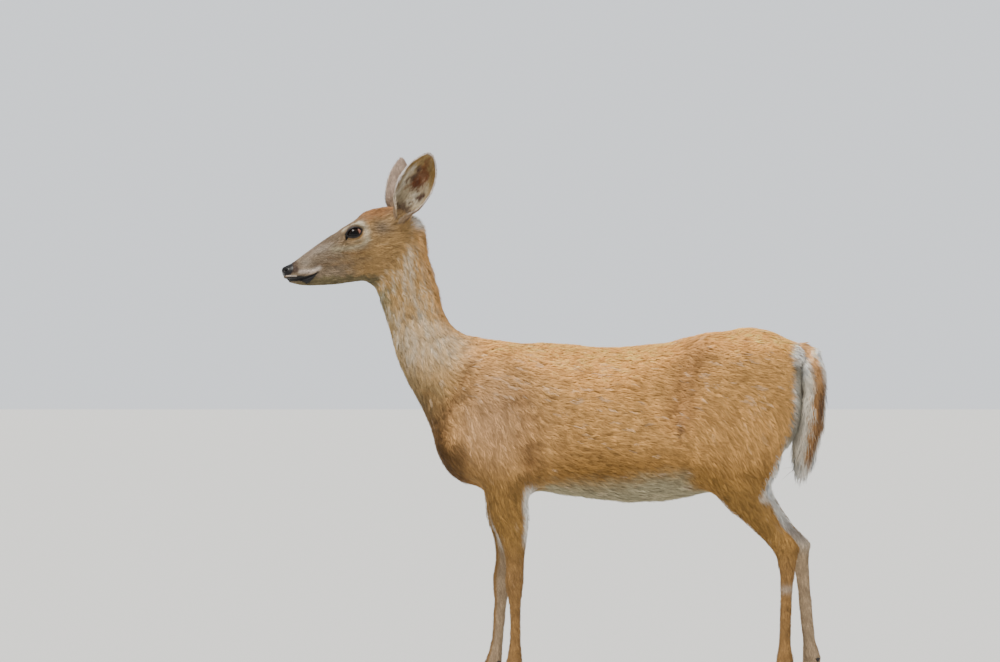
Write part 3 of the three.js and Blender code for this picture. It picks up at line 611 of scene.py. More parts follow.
# %% Core of the tail
TAIL = np.array([  # y, z, reach back, reach forward, half width, in mm
    (546, 832, 18, 18, 18), (576, 839, 22, 20, 22), (604, 825, 24, 22, 27), (617, 790, 29, 25, 33),
    (617, 740, 31, 27, 41), (612, 680, 32, 32, 46), (603, 620, 32, 34, 45), (593, 565, 28, 28, 36),
], float)
TAIL_CORE = 0.60              # the core's share of the reach of the hair
TAIL_ROOT = 0.84              # and at the root, where the tail is nearly all flesh
TAIL_FRONT = 1.5              # in front, where the hair is short, it has this much more
TAIL_CROWN = 11               # how much higher its root stands behind than in front, in mm
ball = bmesh.new()
bmesh.ops.create_uvsphere(ball, u_segments=28, v_segments=60, radius=1)
spots = np.array([v.co for v in ball.verts])
down = np.arccos(np.clip(spots[:, 2], -1, 1)) / math.pi
stations = np.stack([np.interp(down, np.linspace(0, 1, len(TAIL)), TAIL[:, k]) for k in range(5)], 1)
turn = np.arctan2(spots[:, 1], spots[:, 0])
middle, height, behind, before, half = stations.T
full = np.sin(down * math.pi) ** 0.42 * np.interp(height, [740, 800], [TAIL_CORE, TAIL_ROOT])
before = before * np.interp(height, [740, 800, 820], [TAIL_FRONT, TAIL_FRONT, 1])
reach = np.where(np.sin(turn) > 0, behind, before)
tail_points = np.stack([
    half * full * np.cos(turn),
    middle + reach * full * np.sin(turn) + Y_CENTRE / MM,
    height + TAIL_CROWN * np.sin(turn) * soft_step(780, 825, height),
], 1) * MM
for v, p in zip(ball.verts, tail_points):
    v.co = p
bmesh.ops.recalc_face_normals(ball, faces=ball.faces)
tail_faces = []
for face in ball.faces:       # each face starts at its lowest point, so that every run is alike
    loop = [v.index for v in face.verts]
    first = loop.index(min(loop))
    tail_faces.append(loop[first:] + loop[:first])
tail_mesh = bpy.data.meshes.new("tail_core")
tail_mesh.from_pydata([v.co[:] for v in ball.verts], [], sorted(tail_faces))
ball.free()
print("tail core points:", len(tail_mesh.vertices))

# %% [markdown]
# Skin, ears and tail core become one object. Every value that the markings and the hair need is kept
# in one table of arrays with a row per point: where it is, its normal, which part it belongs to.

# %% Join the skin
PARTS = ["trunk", "neck", "head"] + list(LEGS) + ["ear_left", "ear_right", "tail"]


def part_of(name):
    if name in ("lower_jaw", "nose"):
        return PARTS.index("head")
    return PARTS.index(name.replace("_upper", "").replace("_lower", ""))


joined = bmesh.new()
for mesh in [skin_mesh, ears["ear_left"][0], ears["ear_right"][0], tail_mesh]:
    joined.from_mesh(mesh)
whole = bpy.data.meshes.new("skin")
joined.to_mesh(whole)
joined.free()
owner = nearest_solid(positions(skin_mesh))
part = [np.array([part_of(n) for n in BODY_NODES])[owner]]
extra = [np.zeros((len(skin_mesh.vertices), 3))]      # f, g and outer on the ears
for name in ("ear_left", "ear_right"):
    mesh, f, g, outer, _, _ = ears[name]
    part.append(np.full(len(mesh.vertices), PARTS.index(name)))
    extra.append(np.stack([f, g, outer], 1))
part.append(np.full(len(tail_mesh.vertices), PARTS.index("tail")))
extra.append(np.zeros((len(tail_mesh.vertices), 3)))
part, extra = np.concatenate(part), np.concatenate(extra)
co, nrm = positions(whole), normals(whole)
near = Neighbours(whole)
q = to_head(co) / MM
nrm_head = nrm @ HEAD[:3, :3]
count = len(co)
print("whole skin:", count, "points,", len(whole.polygons), "faces")


def is_part(*names):
    return np.isin(part, [PARTS.index(n) for n in names])


# %% [markdown]
# The markings are painted with soft masks. Each mask is a simple function of where a point lies and
# which way it faces, and `over` lays one named colour on the rest. Skin and hair share the result.

# %% Colours and how they are laid on
def srgb(*c):
    c = np.array(c, float) / 255
    return np.where(c <= 0.04045, c / 12.92, ((c + 0.055) / 1.055) ** 2.4)


TAN = srgb(202, 152, 90)
COLOURS = {
    "back": srgb(255, 182, 100), "flank": TAN, "low flank": srgb(136, 98, 44),
    "shoulder": srgb(208, 164, 122), "hip shade": srgb(176, 128, 80), "belly": srgb(168, 157, 126),
    "neck": srgb(192, 152, 98), "nape": srgb(214, 164, 104), "throat": srgb(136, 128, 98),
    "chest": srgb(84, 58, 32), "leg": srgb(148, 112, 60), "shin": srgb(154, 116, 70),
    "white": srgb(250, 245, 236), "pale": srgb(214, 204, 184), "coronet": srgb(96, 74, 58),
    "hock": srgb(92, 62, 42), "fold": srgb(112, 76, 44), "frost": srgb(238, 208, 176),
    "cheek": srgb(166, 132, 86), "face grey": srgb(134, 116, 95), "face pale": srgb(186, 174, 160),
    "bridge": srgb(126, 106, 88), "muzzle": srgb(80, 65, 56), "lip cream": srgb(224, 206, 190),
    "eye patch": srgb(118, 102, 84), "cream": srgb(168, 154, 126), "ring": srgb(244, 230, 200),
    "lid": srgb(66, 58, 58), "bag": srgb(116, 104, 84), "crown": srgb(164, 114, 70),
    "underside": srgb(104, 98, 76), "jaw": srgb(114, 102, 74), "black": srgb(22, 19, 19),
    "wet pink": srgb(140, 96, 80),
    "ear base": srgb(146, 122, 90), "ear back": srgb(160, 134, 106), "ear inside": srgb(192, 174, 142),
    "ear red": srgb(116, 66, 38), "ear dark": srgb(92, 70, 58), "ear rim": srgb(238, 226, 218),
    "ear olive": srgb(144, 114, 66), "ear far": srgb(152, 132, 118),
    "tail brown": srgb(156, 116, 76), "tail dark": srgb(90, 68, 54), "tail cream": srgb(214, 204, 186),
    "tail root": srgb(230, 174, 118),
}


def over(colours, name, mask):
    """Lays one colour on the others, as far as the mask allows."""
    mask = np.clip(mask, 0, 1)[:, None]
    return colours * (1 - mask) + COLOURS[name] * mask


def patch(y_centre, z_centre, y_reach, z_reach):
    """A soft oval on the side of the body."""
    return np.exp(-(((y - y_centre) / y_reach) ** 2) - (((z - z_centre) / z_reach) ** 2))


x, y, z = co.T
side = np.sign(x)
paint = np.tile(TAN, (count, 1))
leg = near.spread(is_part(*LEGS).astype(float), 8)
fringe = 0.006 * ripple(co, 0.016, 21) + 0.004 * ripple(co, 0.045, 22)
print("colours to paint with:", len(COLOURS))

# %% [markdown]
# The body is warm tan, most orange along the back and duller low on the flank. Hair that faces up
# is also painted lighter, as painted light from above, and the low flank darker, as painted shade.
# The shoulder is greyer, and painted shade darkens the folds ahead of the shoulder, behind the elbow
# and at the flank.

# %% Back, flanks and shoulder
# Painted highlight: hair that faces up is painted lighter, as if lit from above, on top of the back's own
# warmer tone.
paint = over(paint, "back", soft_step(0.10, 0.85, nrm[:, 2]))
# Painted shade: the low flank, which faces down, is darker than the duller tone of its own hair.
paint = over(paint, "low flank", 0.85 * soft_step(0.66, 0.52, z) * soft_step(0.3, -0.4, nrm[:, 2]))
paint = over(paint, "shoulder", 0.7 * patch(-0.15, 0.68, 0.11, 0.13))
fold_shade, _ = line_distance(co[:, 1:], [(0.335, 0.835), (0.304, 0.777), (0.290, 0.690)])
paint = over(paint, "hip shade", 0.7 * hump(fold_shade, 0, 0.040))
on_neck = soft_step(-0.16, -0.29, y + 0.3 * (0.80 - z)) * soft_step(0.62, 0.78, z)
paint = over(paint, "neck", on_neck)
paint = over(paint, "nape", 0.8 * on_neck * soft_step(0.1, 0.7, nrm[:, 1]))
high_neck = soft_step(0.90, 1.02, z) * soft_step(0.6, 0.1, nrm[:, 1])
paint = over(paint, "cheek", 0.6 * on_neck * high_neck)
# Painted shade: the front of the chest and the place under the brisket are far darker than the chest's
# own brown.
breast = soft_step(-0.2, -0.8, nrm[:, 1]) * (1 - leg)
paint = over(paint, "chest", 0.8 * breast * soft_step(0.86, 0.70, z))
brisket_shade = soft_step(-0.185, -0.235, y) * soft_step(0.66, 0.57, z)
paint = over(paint, "chest", 0.85 * brisket_shade * soft_step(0.44, 0.50, z))
# Painted shade in the crease ahead of the shoulder, behind the shoulder blade, behind the elbow and in
# the fold of the flank, whose dark spot takes the coronet's colour.
crease_gap, _ = line_distance(co[:, 1:], [(-0.200, 0.810), (-0.222, 0.765), (-0.256, 0.690)])
paint = over(paint, "fold", 0.55 * hump(crease_gap, 0, 0.010))
blade_gap, _ = line_distance(co[:, 1:], [(-0.085, 0.735), (-0.060, 0.680), (-0.066, 0.610)])
blade_shade = hump(blade_gap, 0, 0.030) * soft_step(-0.9, 0.7, ripple(co * (1, 1, 1.6), 0.035, 24))
paint = over(paint, "fold", 0.42 * blade_shade)
paint = over(paint, "fold", 0.5 * patch(-0.062, 0.575, 0.016, 0.05))
paint = over(paint, "coronet", 0.85 * patch(0.288, 0.655, 0.010, 0.024))
print("share of the skin on the neck:", round(float(on_neck.mean()), 3))

# %% [markdown]
# The throat is cream and runs down the front of the neck, and it is painted dull, partly as painted
# shade. On the sides of the neck the hair parts into long pale streaks, and one stronger pale lock
# follows the groove behind the jaw.

# %% Throat and streaks of the neck
# Partly painted shade: the throat's pale hair is given a dull, darker colour.
front = soft_step(-0.25, -0.80, nrm[:, 1] + 0.15 * fringe / 0.006)
paint = over(paint, "throat", on_neck * (0.35 + 0.65 * soft_step(0.90, 1.00, z)) * front)
streaks = soft_step(0.1, 0.9, ripple(co * (1, 1, 0.14), 0.010, 23)) * on_neck
off_nape = 1 - soft_step(0.4, 0.9, nrm[:, 1])
paint = over(paint, "pale", 0.48 * streaks * soft_step(0.76, 0.86, z) * off_nape)
PALE_LOCK = [(-0.343, 1.160), (-0.352, 1.090), (-0.350, 1.038), (-0.338, 0.967), (-0.307, 0.896)]
lock_gap, _ = line_distance(co[:, 1:], PALE_LOCK)
paint = over(paint, "pale", 0.6 * hump(lock_gap, 0, 0.007) * on_neck * (0.5 + 0.5 * streaks))
neck_foot = hump(z, 0.86, 0.06) * soft_step(0.3, 0.8, np.abs(nrm[:, 0]))
paint = over(paint, "pale", 0.3 * on_neck * neck_foot)
print("streaked share of the skin:", round(float(streaks.mean()), 3))

# %% [markdown]
# The legs are a duller brown with white on the inside, which shows as a strip behind the foreleg.
# The belly is cream, painted darker and greener as painted shade and a painted green reflection,
# and its edge runs from the elbow up to the fold of the flank.

# %% Legs and belly
paint = over(paint, "leg", 0.8 * leg * soft_step(0.60, 0.48, z))
paint = over(paint, "shin", leg * soft_step(0.40, 0.30, z))
fore = near.spread(is_part("foreleg_left", "foreleg_right").astype(float), 4)
hind = near.spread(is_part("hindleg_left", "hindleg_right").astype(float), 4)
inner = -side * nrm[:, 0]
inner_fore = fore * soft_step(0.22, 0.62, 0.9 * inner + 0.42 * nrm[:, 1]) * soft_step(0.60, 0.54, z)
strip = fore * soft_step(0.42, 0.72, nrm[:, 1]) * soft_step(0.36, 0.40, z) * soft_step(0.535, 0.50, z)
white = np.maximum(np.maximum(inner_fore, strip), hind * soft_step(0.15, 0.60, inner))
low = soft_step(0.42, 0.34, z)
paint = over(paint, "white", 0.9 * white * (1 - low))
paint = over(paint, "pale", 0.30 * white * low)

BELLY = np.array([(-0.30, 0.440), (-0.15, 0.475), (-0.061, 0.517), (0.143, 0.527),
                  (0.252, 0.545), (0.31, 0.550), (0.40, 0.590)])
belly_edge = np.interp(y, BELLY[:, 0], BELLY[:, 1])
belly = soft_step(0.030, -0.026, z - belly_edge + 0.8 * fringe) * (1 - leg)
belly = np.maximum(belly, (1 - leg) * soft_step(-0.72, -0.9, nrm[:, 2]) * (z < 0.62))
belly *= soft_step(-0.13, -0.08, y)
# Painted shade and a painted green reflection: the belly's cream is darker and greener than its hair.
paint = over(paint, "belly", belly)
paint = over(paint, "pale", 0.8 * belly * soft_step(0.34, 0.42, y))
# Painted shade where the belly runs into the fold of the flank.
flank_fold_shade = soft_step(0.18, 0.30, y) * soft_step(-0.8, -0.3, nrm[:, 2])
paint = over(paint, "low flank", 0.5 * belly * flank_fold_shade)
print("white share of the legs and belly:", round(float((belly + white).clip(0, 1).mean()), 3))

# %% [markdown]
# A white edge runs down each buttock beside the tail, and the bare skin under the tail is painted
# dark, as painted shade. On the hind legs lie a small white gland outside and a dark tuft inside the
# hock.

# %% Rump, glands and feet
RUMP = np.array([  # height, where the buttock ends, and how wide its white edge is
    (0.500, 0.488, 0.004), (0.519, 0.499, 0.008), (0.600, 0.543, 0.010), (0.649, 0.568, 0.012),
    (0.687, 0.580, 0.018), (0.760, 0.577, 0.020), (0.789, 0.581, 0.018), (0.830, 0.580, 0.026),
])
rear, edge = (np.interp(z, RUMP[:, 0], RUMP[:, k]) for k in (1, 2))
rump = soft_step(-1.4, -0.6, (y - rear + 0.5 * fringe) / edge)
rump = np.maximum(rump, soft_step(0.80, 0.94, nrm[:, 1]) * soft_step(0.062, 0.045, np.abs(x)))
rump *= soft_step(0.860, 0.846, z + 0.1 * np.abs(x)) * soft_step(0.47, 0.52, z) * (y > 0.4)
paint = over(paint, "white", rump)
# Painted shade under the tail.
under_tail_shade = soft_step(0.62, 0.90, nrm[:, 1]) * soft_step(0.075, 0.055, np.abs(x)) * (y > 0.4)
under_tail_shade *= soft_step(0.825, 0.800, z) * soft_step(0.52, 0.60, z)
paint = over(paint, "underside", 0.8 * under_tail_shade)
paint = over(paint, "coronet", soft_step(0.062, 0.046, z))
gland = np.exp(-(((z - 0.275) / 0.010) ** 2)) * hind * soft_step(0.3, 0.7, -inner)
paint = over(paint, "white", 0.25 * gland)
tarsal = np.exp(-(((z - 0.405) / 0.022) ** 2)) * hind * soft_step(0.3, 0.7, inner)
paint = over(paint, "hock", 0.6 * tarsal)
print("white share of the rump:", round(float(rump.clip(0, 1).mean()), 3))

# %% [markdown]
# The face runs from a grey muzzle over a tan cheek to an orange crown. The jaw is duller: its pale
# hair is painted darker and greenish, as painted shade and a painted green reflection. Places on it
# are given by s and t of the head's own frame, in millimetres, and are the same on both sides.

# %% Muzzle, cheek and crown
HX, HS, HT = np.abs(q[:, 0]), q[:, 1], q[:, 2]
flat = np.stack([HS, HT], 1)
facing = soft_step(0.33, 0.30, HS * MM) * (z > HEAD_LOW)
head_paint = np.tile(COLOURS["cheek"], (count, 1))
mottle = ripple(co, 0.012, 31)


def spot(s, t, reach_s, reach_t):
    return np.exp(-(((HS - s) / reach_s) ** 2) - (((HT - t) / reach_t) ** 2))


def stripe(line, width):
    return hump(line_distance(flat, line)[0], 0, width)


head_paint = over(head_paint, "face grey", soft_step(200, 120, HS + 8 * mottle))
head_paint = over(head_paint, "face pale", 0.9 * spot(82, 31, 40, 13) + 0.4 * spot(60, 5, 14, 10))
top = soft_step(0.45, 0.85, nrm_head[:, 2])
head_paint = over(head_paint, "bridge", 0.75 * top * soft_step(45, 80, HS))
head_paint = over(head_paint, "eye patch", 0.9 * spot(146, 42, 22, 9) + 0.45 * spot(108, 12, 34, 8))
head_paint = over(head_paint, "cream", 0.9 * stripe([(132, 17), (167, 11), (194, 8), (212, 18)], 7))
head_paint = over(head_paint, "bag", 0.8 * spot(190, 21, 14, 5))
CHEEK_FOLDS = [  # line of (s, t), and width in mm
    ([(113, 2), (126, -3), (138, -8)], 2.6), ([(86, -7), (98, -10), (110, -11)], 2.8),
    ([(118, -16), (160, -22), (200, -20)], 3.0), ([(150, 5), (172, -4), (196, -8)], 2.6),
]
# Painted shade in the creases of the cheek.
for line, width in CHEEK_FOLDS:
    head_paint = over(head_paint, "fold", 0.40 * stripe(line, width))
head_paint = over(head_paint, "ear base", 0.45 * stripe([(96, -16), (150, -12), (205, -26)], 7))
head_paint = over(head_paint, "eye patch", 0.9 * spot(252, 36, 28, 22) + 0.5 * spot(196, 2, 22, 8))
# Painted shade and a painted green reflection under the jaw, over its pale hair.
jaw_edge = np.interp(HS, [60, 82, 200, 240], [-30, -34, -64, -80])
below_jaw = soft_step(5, -7, HT - jaw_edge + 3 * mottle)
head_paint = over(head_paint, "jaw", below_jaw * soft_step(255, 225, HS))
crown = soft_step(180, 245, HS + 8 * mottle) * soft_step(47, 76, HT + 3 * mottle)
head_paint = over(head_paint, "crown", 0.85 * crown)
head_paint = over(head_paint, "ear base", 0.8 * spot(305, 50, 22, 16))
head_paint = over(head_paint, "fold", 0.8 * spot(319, 49, 6, 5) + 0.35 * spot(262, 62, 16, 5))
head_paint = over(head_paint, "lip cream", 0.95 * stripe([(42, -11), (66, -18), (88, -15)], 5.0))
round_nose = soft_step(52, 33, HS + 2.5 * mottle) * soft_step(-14, -8, HT)
head_paint = over(head_paint, "muzzle", round_nose * 0.95)
print("share of the skin on the head:", round(float(facing.mean()), 3))

# %% [markdown]
# A broken cream ring, a dark arc above and black lids set off the eye. A fold of wet, pinkish skin
# fills its rear corner, and the tear duct runs down from the front corner as a short black point.

# %% Round the eye
level = np.where((HX > 20) & facing.astype(bool), lid_level(HS * MM, HT * MM), 99.0)
u, v = slit_frame(HS * MM, HT * MM)
ring = stripe([(166, 56), (181, 64), (197, 65), (209, 58), (217, 46), (217, 32), (209, 18)], 5.5)
ring *= soft_step(22, 32, HX) * soft_step(0.97, 0.80, nrm_head[:, 2])
ring *= 1 - 0.5 * soft_step(60, 40, HT) - 0.25 * soft_step(36, 20, HT)
head_paint = over(head_paint, "ring", 0.95 * ring)
arc = soft_step(2.6, 1.8, level) * soft_step(-0.002, 0.004, v)
head_paint = over(head_paint, "lid", np.maximum(0.5 * arc, soft_step(1.7, 1.35, level)))
head_paint = over(head_paint, "black", soft_step(1.45, 1.2, level))
corner = soft_step(REAR_CORNER - 0.001, REAR_CORNER + 0.001, u) * soft_step(1.05, 0.85, level)
head_paint = over(head_paint, "wet pink", corner)
duct_gap, down_duct = line_distance(flat, [(173, 42), (164.5, 29.5)])
head_paint = over(head_paint, "black", soft_step(1.0, 0.7, duct_gap / (6.5 - 3.8 * down_duct)))
print("points on the cream ring:", int((ring > 0.5).sum()))

# %% [markdown]
# The nose pad and the lips are black and bare, with a thin cream edge on the upper lip. The bareness
# is kept, because no hair may grow there, and the skin shines a little where it is bare and moist.

# %% Nose and lips
nose_edge = np.interp(HT, [-14, -6, 0, 13, 26], [18, 26, 30, 33, 36])
pad = soft_step(1.5, -1.5, HS - nose_edge) * soft_step(-14, -11, HT) * facing
lip_top = np.interp(HS, [-4, 14, 24, 36, 51, 72, 84], [-16, -15, -15.5, -19, -25, -26, -22])
lip_low = np.interp(HS, [-4, 12, 26, 36, 43, 51, 58, 68, 78, 85],
                    [-25, -27, -30, -32, -37, -44.5, -43, -37.5, -30, -25])
lips = soft_step(1.2, -1.2, HT - lip_top) * soft_step(-1.2, 1.2, HT - lip_low) * soft_step(87, 83, HS)
lips = np.maximum(lips, soft_step(2.4, 1.2, line_distance(flat, MOUTH_LINE / MM)[0])) * facing
head_paint = over(head_paint, "black", np.maximum(pad, lips))
strip = soft_step(2.0, 0.9, line_distance(flat, [(9, -12.5), (19, -15), (32, -19)])[0])
head_paint = over(head_paint, "lip cream", 0.65 * strip * facing)
on_head_skin = near.spread(is_part("head").astype(float), 6) * soft_step(345, 305, HS)
paint = paint * (1 - on_head_skin[:, None]) + head_paint * on_head_skin[:, None]
behind_ear = np.exp(-(((HS - 340) / 12) ** 4) - (((HT - 34) / 24) ** 4))
behind_ear = behind_ear * soft_step(8, 18, HX) * (z > 1.0)
paint = over(paint, "white", 0.95 * behind_ear)
bare = np.maximum(pad, 0.7 * lips) * facing
bare = np.maximum(bare, soft_step(1.5, 1.2, level))
print("bare points on nose, lips and lids:", int((bare > 0.5).sum()))

# %% [markdown]
# Inside, the ear is pale with rusty patches and a few dark ones. Outside it is grey-brown, and a thin
# white rim runs all round it. Places on it are shares: f of its length, and g from rim to rim.

# %% Markings of the ears
f, g, outer = extra.T
inside = is_part("ear_left", "ear_right") & (outer < 0.5)
outside = is_part("ear_left", "ear_right") & (outer > 0.5)
EAR_PATCHES = [  # colour, f, g, reach along, reach round, strength
    ("pale", 0.42, -0.72, 0.26, 0.22, 0.7), ("pale", 0.26, 0.18, 0.08, 0.30, 0.6),
    ("ear red", 0.46, -0.04, 0.10, 0.36, 1.0), ("ear red", 0.62, 0.06, 0.12, 0.36, 0.8),
    ("ear red", 0.80, 0.0, 0.12, 0.26, 0.6), ("ear dark", 0.67, -0.30, 0.05, 0.20, 0.9),
    ("ear dark", 0.50, -0.30, 0.05, 0.20, 0.8), ("ear dark", 0.44, 0.05, 0.06, 0.22, 0.7),
    ("ear dark", 0.38, 0.50, 0.05, 0.15, 1.0), ("ear dark", 0.30, 0.36, 0.05, 0.16, 1.0),
    ("ear olive", 0.70, 0.66, 0.20, 0.25, 0.8), ("ear dark", 0.13, 0.9, 0.05, 0.22, 0.9),
    ("ear dark", 0.05, 0.0, 0.10, 0.80, 0.8),
]
ear_paint = over(np.tile(COLOURS["ear inside"], (count, 1)), "ear olive", 0.85 * soft_step(0.50, 0.74, f))
wander = 0.040 * ripple(co, 0.016, 41) + 0.035 * ripple(co, 0.006, 42)
for name, at_f, at_g, reach_f, reach_g, strength in EAR_PATCHES:
    gap = ((f - at_f + wander) / reach_f) ** 2 + ((g - at_g + 2 * wander) / reach_g) ** 2
    ear_paint = over(ear_paint, name, strength * soft_step(1.7, 0.35, gap))
ear_paint = over(ear_paint, "ear olive", 0.8 * soft_step(0.60, 0.90, np.abs(g)) * (f > 0.3))
# Both ears' backs turn pinker towards the tip. The right ear's back is painted pinker all over, which is
# painted light, since both ears are alike.
pinkish = np.maximum(0.5 * soft_step(0.3, 0.9, f), 0.85 * is_part("ear_right") * soft_step(0.0, 0.3, f))
back_paint = over(np.tile(COLOURS["ear back"], (count, 1)), "ear far", pinkish)
rim = np.maximum(soft_step(0.93, 0.97, np.abs(g)), soft_step(0.955, 0.99, f)) * (f > 0.12)
rim *= 1 - 0.75 * soft_step(0.45, 0.25, f)
paint = np.where(inside[:, None], ear_paint, paint)
paint = np.where(outside[:, None], back_paint, paint)
paint = over(paint, "ear rim", 0.95 * rim * (inside | outside))
print("points on the ears:", int((inside | outside).sum()))

# %% [markdown]
# The tail is white with cream long hair towards her left, and a brown stripe with a dark core runs
# down its back. It hangs a little twisted, so the stripe is placed by the angle round the tail.

# %% Markings of the tail
STRIPE_AT, STRIPE_HALF = 63.0, 38.0      # degrees from straight back towards her left


def tail_colours(p):
    """Colours of the tail by height and by the angle round it. It hangs a little twisted."""
    height = p[:, 2] / MM
    rows = TAIL[::-1]
    middle = np.interp(height, rows[:, 1], rows[:, 0]) + Y_CENTRE / MM
    back = np.interp(height, rows[:, 1], rows[:, 2])
    half = np.interp(height, rows[:, 1], rows[:, 4])
    angle = np.degrees(np.arctan2(p[:, 0] / MM / half, (p[:, 1] / MM - middle) / back))
    angle = angle + 9 * ripple(p * (1, 1, 0.12), 0.010, 51)
    top = soft_step(740, 800, height)
    made = np.tile(COLOURS["tail cream"], (len(p), 1))
    made = over(made, "white", soft_step(STRIPE_AT, STRIPE_AT - 40, angle) * soft_step(-150, -110, angle))
    off = np.abs(angle - STRIPE_AT - 14 * top)
    made = over(made, "tail brown", soft_step(STRIPE_HALF + 8 + 16 * top, STRIPE_HALF - 4, off))
    streak = soft_step(17, 9, np.abs(angle - STRIPE_AT + 11))
    streak = streak * soft_step(-0.6, 0.3, ripple(p * (1, 1, 0.1), 0.007, 52))
    long_part = soft_step(820, 770, height) * soft_step(570, 640, height)
    made = over(made, "tail dark", 0.9 * streak * long_part)
    made = over(made, "tail root", soft_step(800, 822, height))
    tuft = soft_step(72, 48, angle) * soft_step(-140, -100, angle) * soft_step(765, 790, height)
    made = over(made, "white", 0.95 * tuft * soft_step(598, 612, p[:, 1] / MM))
    root_front = soft_step(602, 595, p[:, 1] / MM) * soft_step(770, 790, height)
    made = over(made, "white", root_front * soft_step(828, 818, height))
    return over(made, "white", soft_step(620, 570, height))


on_tail = is_part("tail")
paint[on_tail] = tail_colours(co[on_tail])
paint *= 1 + 0.05 * ripple(co, 0.05, 61)[:, None] + 0.03 * ripple(co, 0.02, 62)[:, None]
paint = np.clip(paint, 0.002, 0.95)
print("colours painted on", count, "points")

# %% [markdown]
# Hair, skin and horn all vary a little in tone from place to place. One shader group does this for
# every material: noise on Object coordinates, which stay with the mesh, lightens or darkens the
# colour that comes in. Each material sets how fine the noise is and how far the tones go.

# %% A shader group for uneven tones
def new_group(name, inputs, outputs):
    group = bpy.data.node_groups.new(name, "ShaderNodeTree")
    for kind, direction, sockets in (("i", "INPUT", inputs), ("o", "OUTPUT", outputs)):
        for label, socket, value in sockets:
            made = group.interface.new_socket(label, in_out=direction, socket_type=socket)
            if value is not None:
                made.default_value = value
    return group, group.nodes.new("NodeGroupInput"), group.nodes.new("NodeGroupOutput")


def node(tree, kind, **settings):
    made = tree.nodes.new(kind)
    for key, value in settings.items():
        if key in made.inputs:
            made.inputs[key].default_value = value
        else:
            setattr(made, key, value)
    return made


uneven, entry, leave = new_group(
    "uneven_hair_tone",
    [("Colour", "NodeSocketColor", None), ("Scale", "NodeSocketFloat", 90.0),
     ("Darkest", "NodeSocketFloat", 0.8), ("Lightest", "NodeSocketFloat", 1.15)],
    [("Colour", "NodeSocketColor", None)],
)
where = uneven.nodes.new("ShaderNodeTexCoord")
grain = node(uneven, "ShaderNodeTexNoise", Detail=3.0, Roughness=0.6)
spread = node(uneven, "ShaderNodeMapRange")
spread.inputs["From Min"].default_value, spread.inputs["From Max"].default_value = 0.3, 0.7
tone = uneven.nodes.new("ShaderNodeHueSaturation")
uneven.links.new(where.outputs["Object"], grain.inputs["Vector"])
uneven.links.new(entry.outputs["Scale"], grain.inputs["Scale"])
uneven.links.new(grain.outputs["Fac"], spread.inputs["Value"])
uneven.links.new(entry.outputs["Darkest"], spread.inputs["To Min"])
uneven.links.new(entry.outputs["Lightest"], spread.inputs["To Max"])
uneven.links.new(spread.outputs["Result"], tone.inputs["Value"])
uneven.links.new(entry.outputs["Colour"], tone.inputs["Color"])
uneven.links.new(tone.outputs["Color"], leave.inputs["Colour"])
print("group:", uneven.name)

# %% [markdown]
# Hair and skin take their colour from an attribute stored on the mesh. Hair is rough with a faint
# sheen, and each strand of tufts varies only a little along its length.

# %% Material of the hair
def new_material(name, roughness, specular=0.3, **sockets):
    material = bpy.data.materials.new(name)
    material.use_nodes = True
    shader = material.node_tree.nodes["Principled BSDF"]
    shader.inputs["Roughness"].default_value = roughness
    shader.inputs["Specular IOR Level"].default_value = specular
    for label, value in sockets.items():
        shader.inputs[label.replace("_", " ")].default_value = value
    return material, material.node_tree, shader


def add_uneven(tree, shader, colour_output, scale, darkest, lightest):
    group = tree.nodes.new("ShaderNodeGroup")
    group.node_tree = uneven
    group.inputs["Scale"].default_value = scale
    group.inputs["Darkest"].default_value = darkest
    group.inputs["Lightest"].default_value = lightest
    tree.links.new(colour_output, group.inputs["Colour"])
    tree.links.new(group.outputs["Colour"], shader.inputs["Base Color"])


hair_material, tree, shader = new_material("short_summer_hair", 0.66, 0.12, Sheen_Weight=0.03,
                                           Sheen_Roughness=0.45)
stored = node(tree, "ShaderNodeAttribute", attribute_name="hair_colour")
add_uneven(tree, shader, stored.outputs["Color"], 60, 0.88, 1.12)
print("material:", hair_material.name)

# %% [markdown]
# The skin is rough too, but the bare nose, lips and lids are smoother and moist. The bareness drives
# the roughness, and it blends the relief from fine pores to the larger pebbles of the nose.

# %% Material of the skin
skin_material, tree, shader = new_material("skin_under_the_coat", 0.8, 0.3)
stored = node(tree, "ShaderNodeAttribute", attribute_name="skin_colour")
add_uneven(tree, shader, stored.outputs["Color"], 420, 0.8, 1.12)
bareness = node(tree, "ShaderNodeAttribute", attribute_name="bare")
moist = node(tree, "ShaderNodeMapRange")
moist.inputs["To Min"].default_value, moist.inputs["To Max"].default_value = 0.82, 0.36
tree.links.new(bareness.outputs["Fac"], moist.inputs["Value"])
tree.links.new(moist.outputs["Result"], shader.inputs["Roughness"])
place_of = node(tree, "ShaderNodeTexCoord")
pebbles = node(tree, "ShaderNodeTexVoronoi", Scale=620.0)
pores = node(tree, "ShaderNodeTexNoise", Scale=1400.0, Detail=2.0)
relief = node(tree, "ShaderNodeMix", data_type="FLOAT")
bump = node(tree, "ShaderNodeBump", Strength=0.35, Distance=0.0006)
tree.links.new(place_of.outputs["Object"], pebbles.inputs["Vector"])
tree.links.new(place_of.outputs["Object"], pores.inputs["Vector"])
tree.links.new(bareness.outputs["Fac"], relief.inputs[0])
tree.links.new(pores.outputs["Fac"], relief.inputs[2])
tree.links.new(pebbles.outputs["Distance"], relief.inputs[3])
tree.links.new(relief.outputs[0], bump.inputs["Height"])
tree.links.new(bump.outputs["Normal"], shader.inputs["Normal"])
print("material:", skin_material.name)

# %% [markdown]
# The skin takes its colours and its bareness as attributes on the points. Under the hair it is shown
# a little darker, because little light reaches the roots.

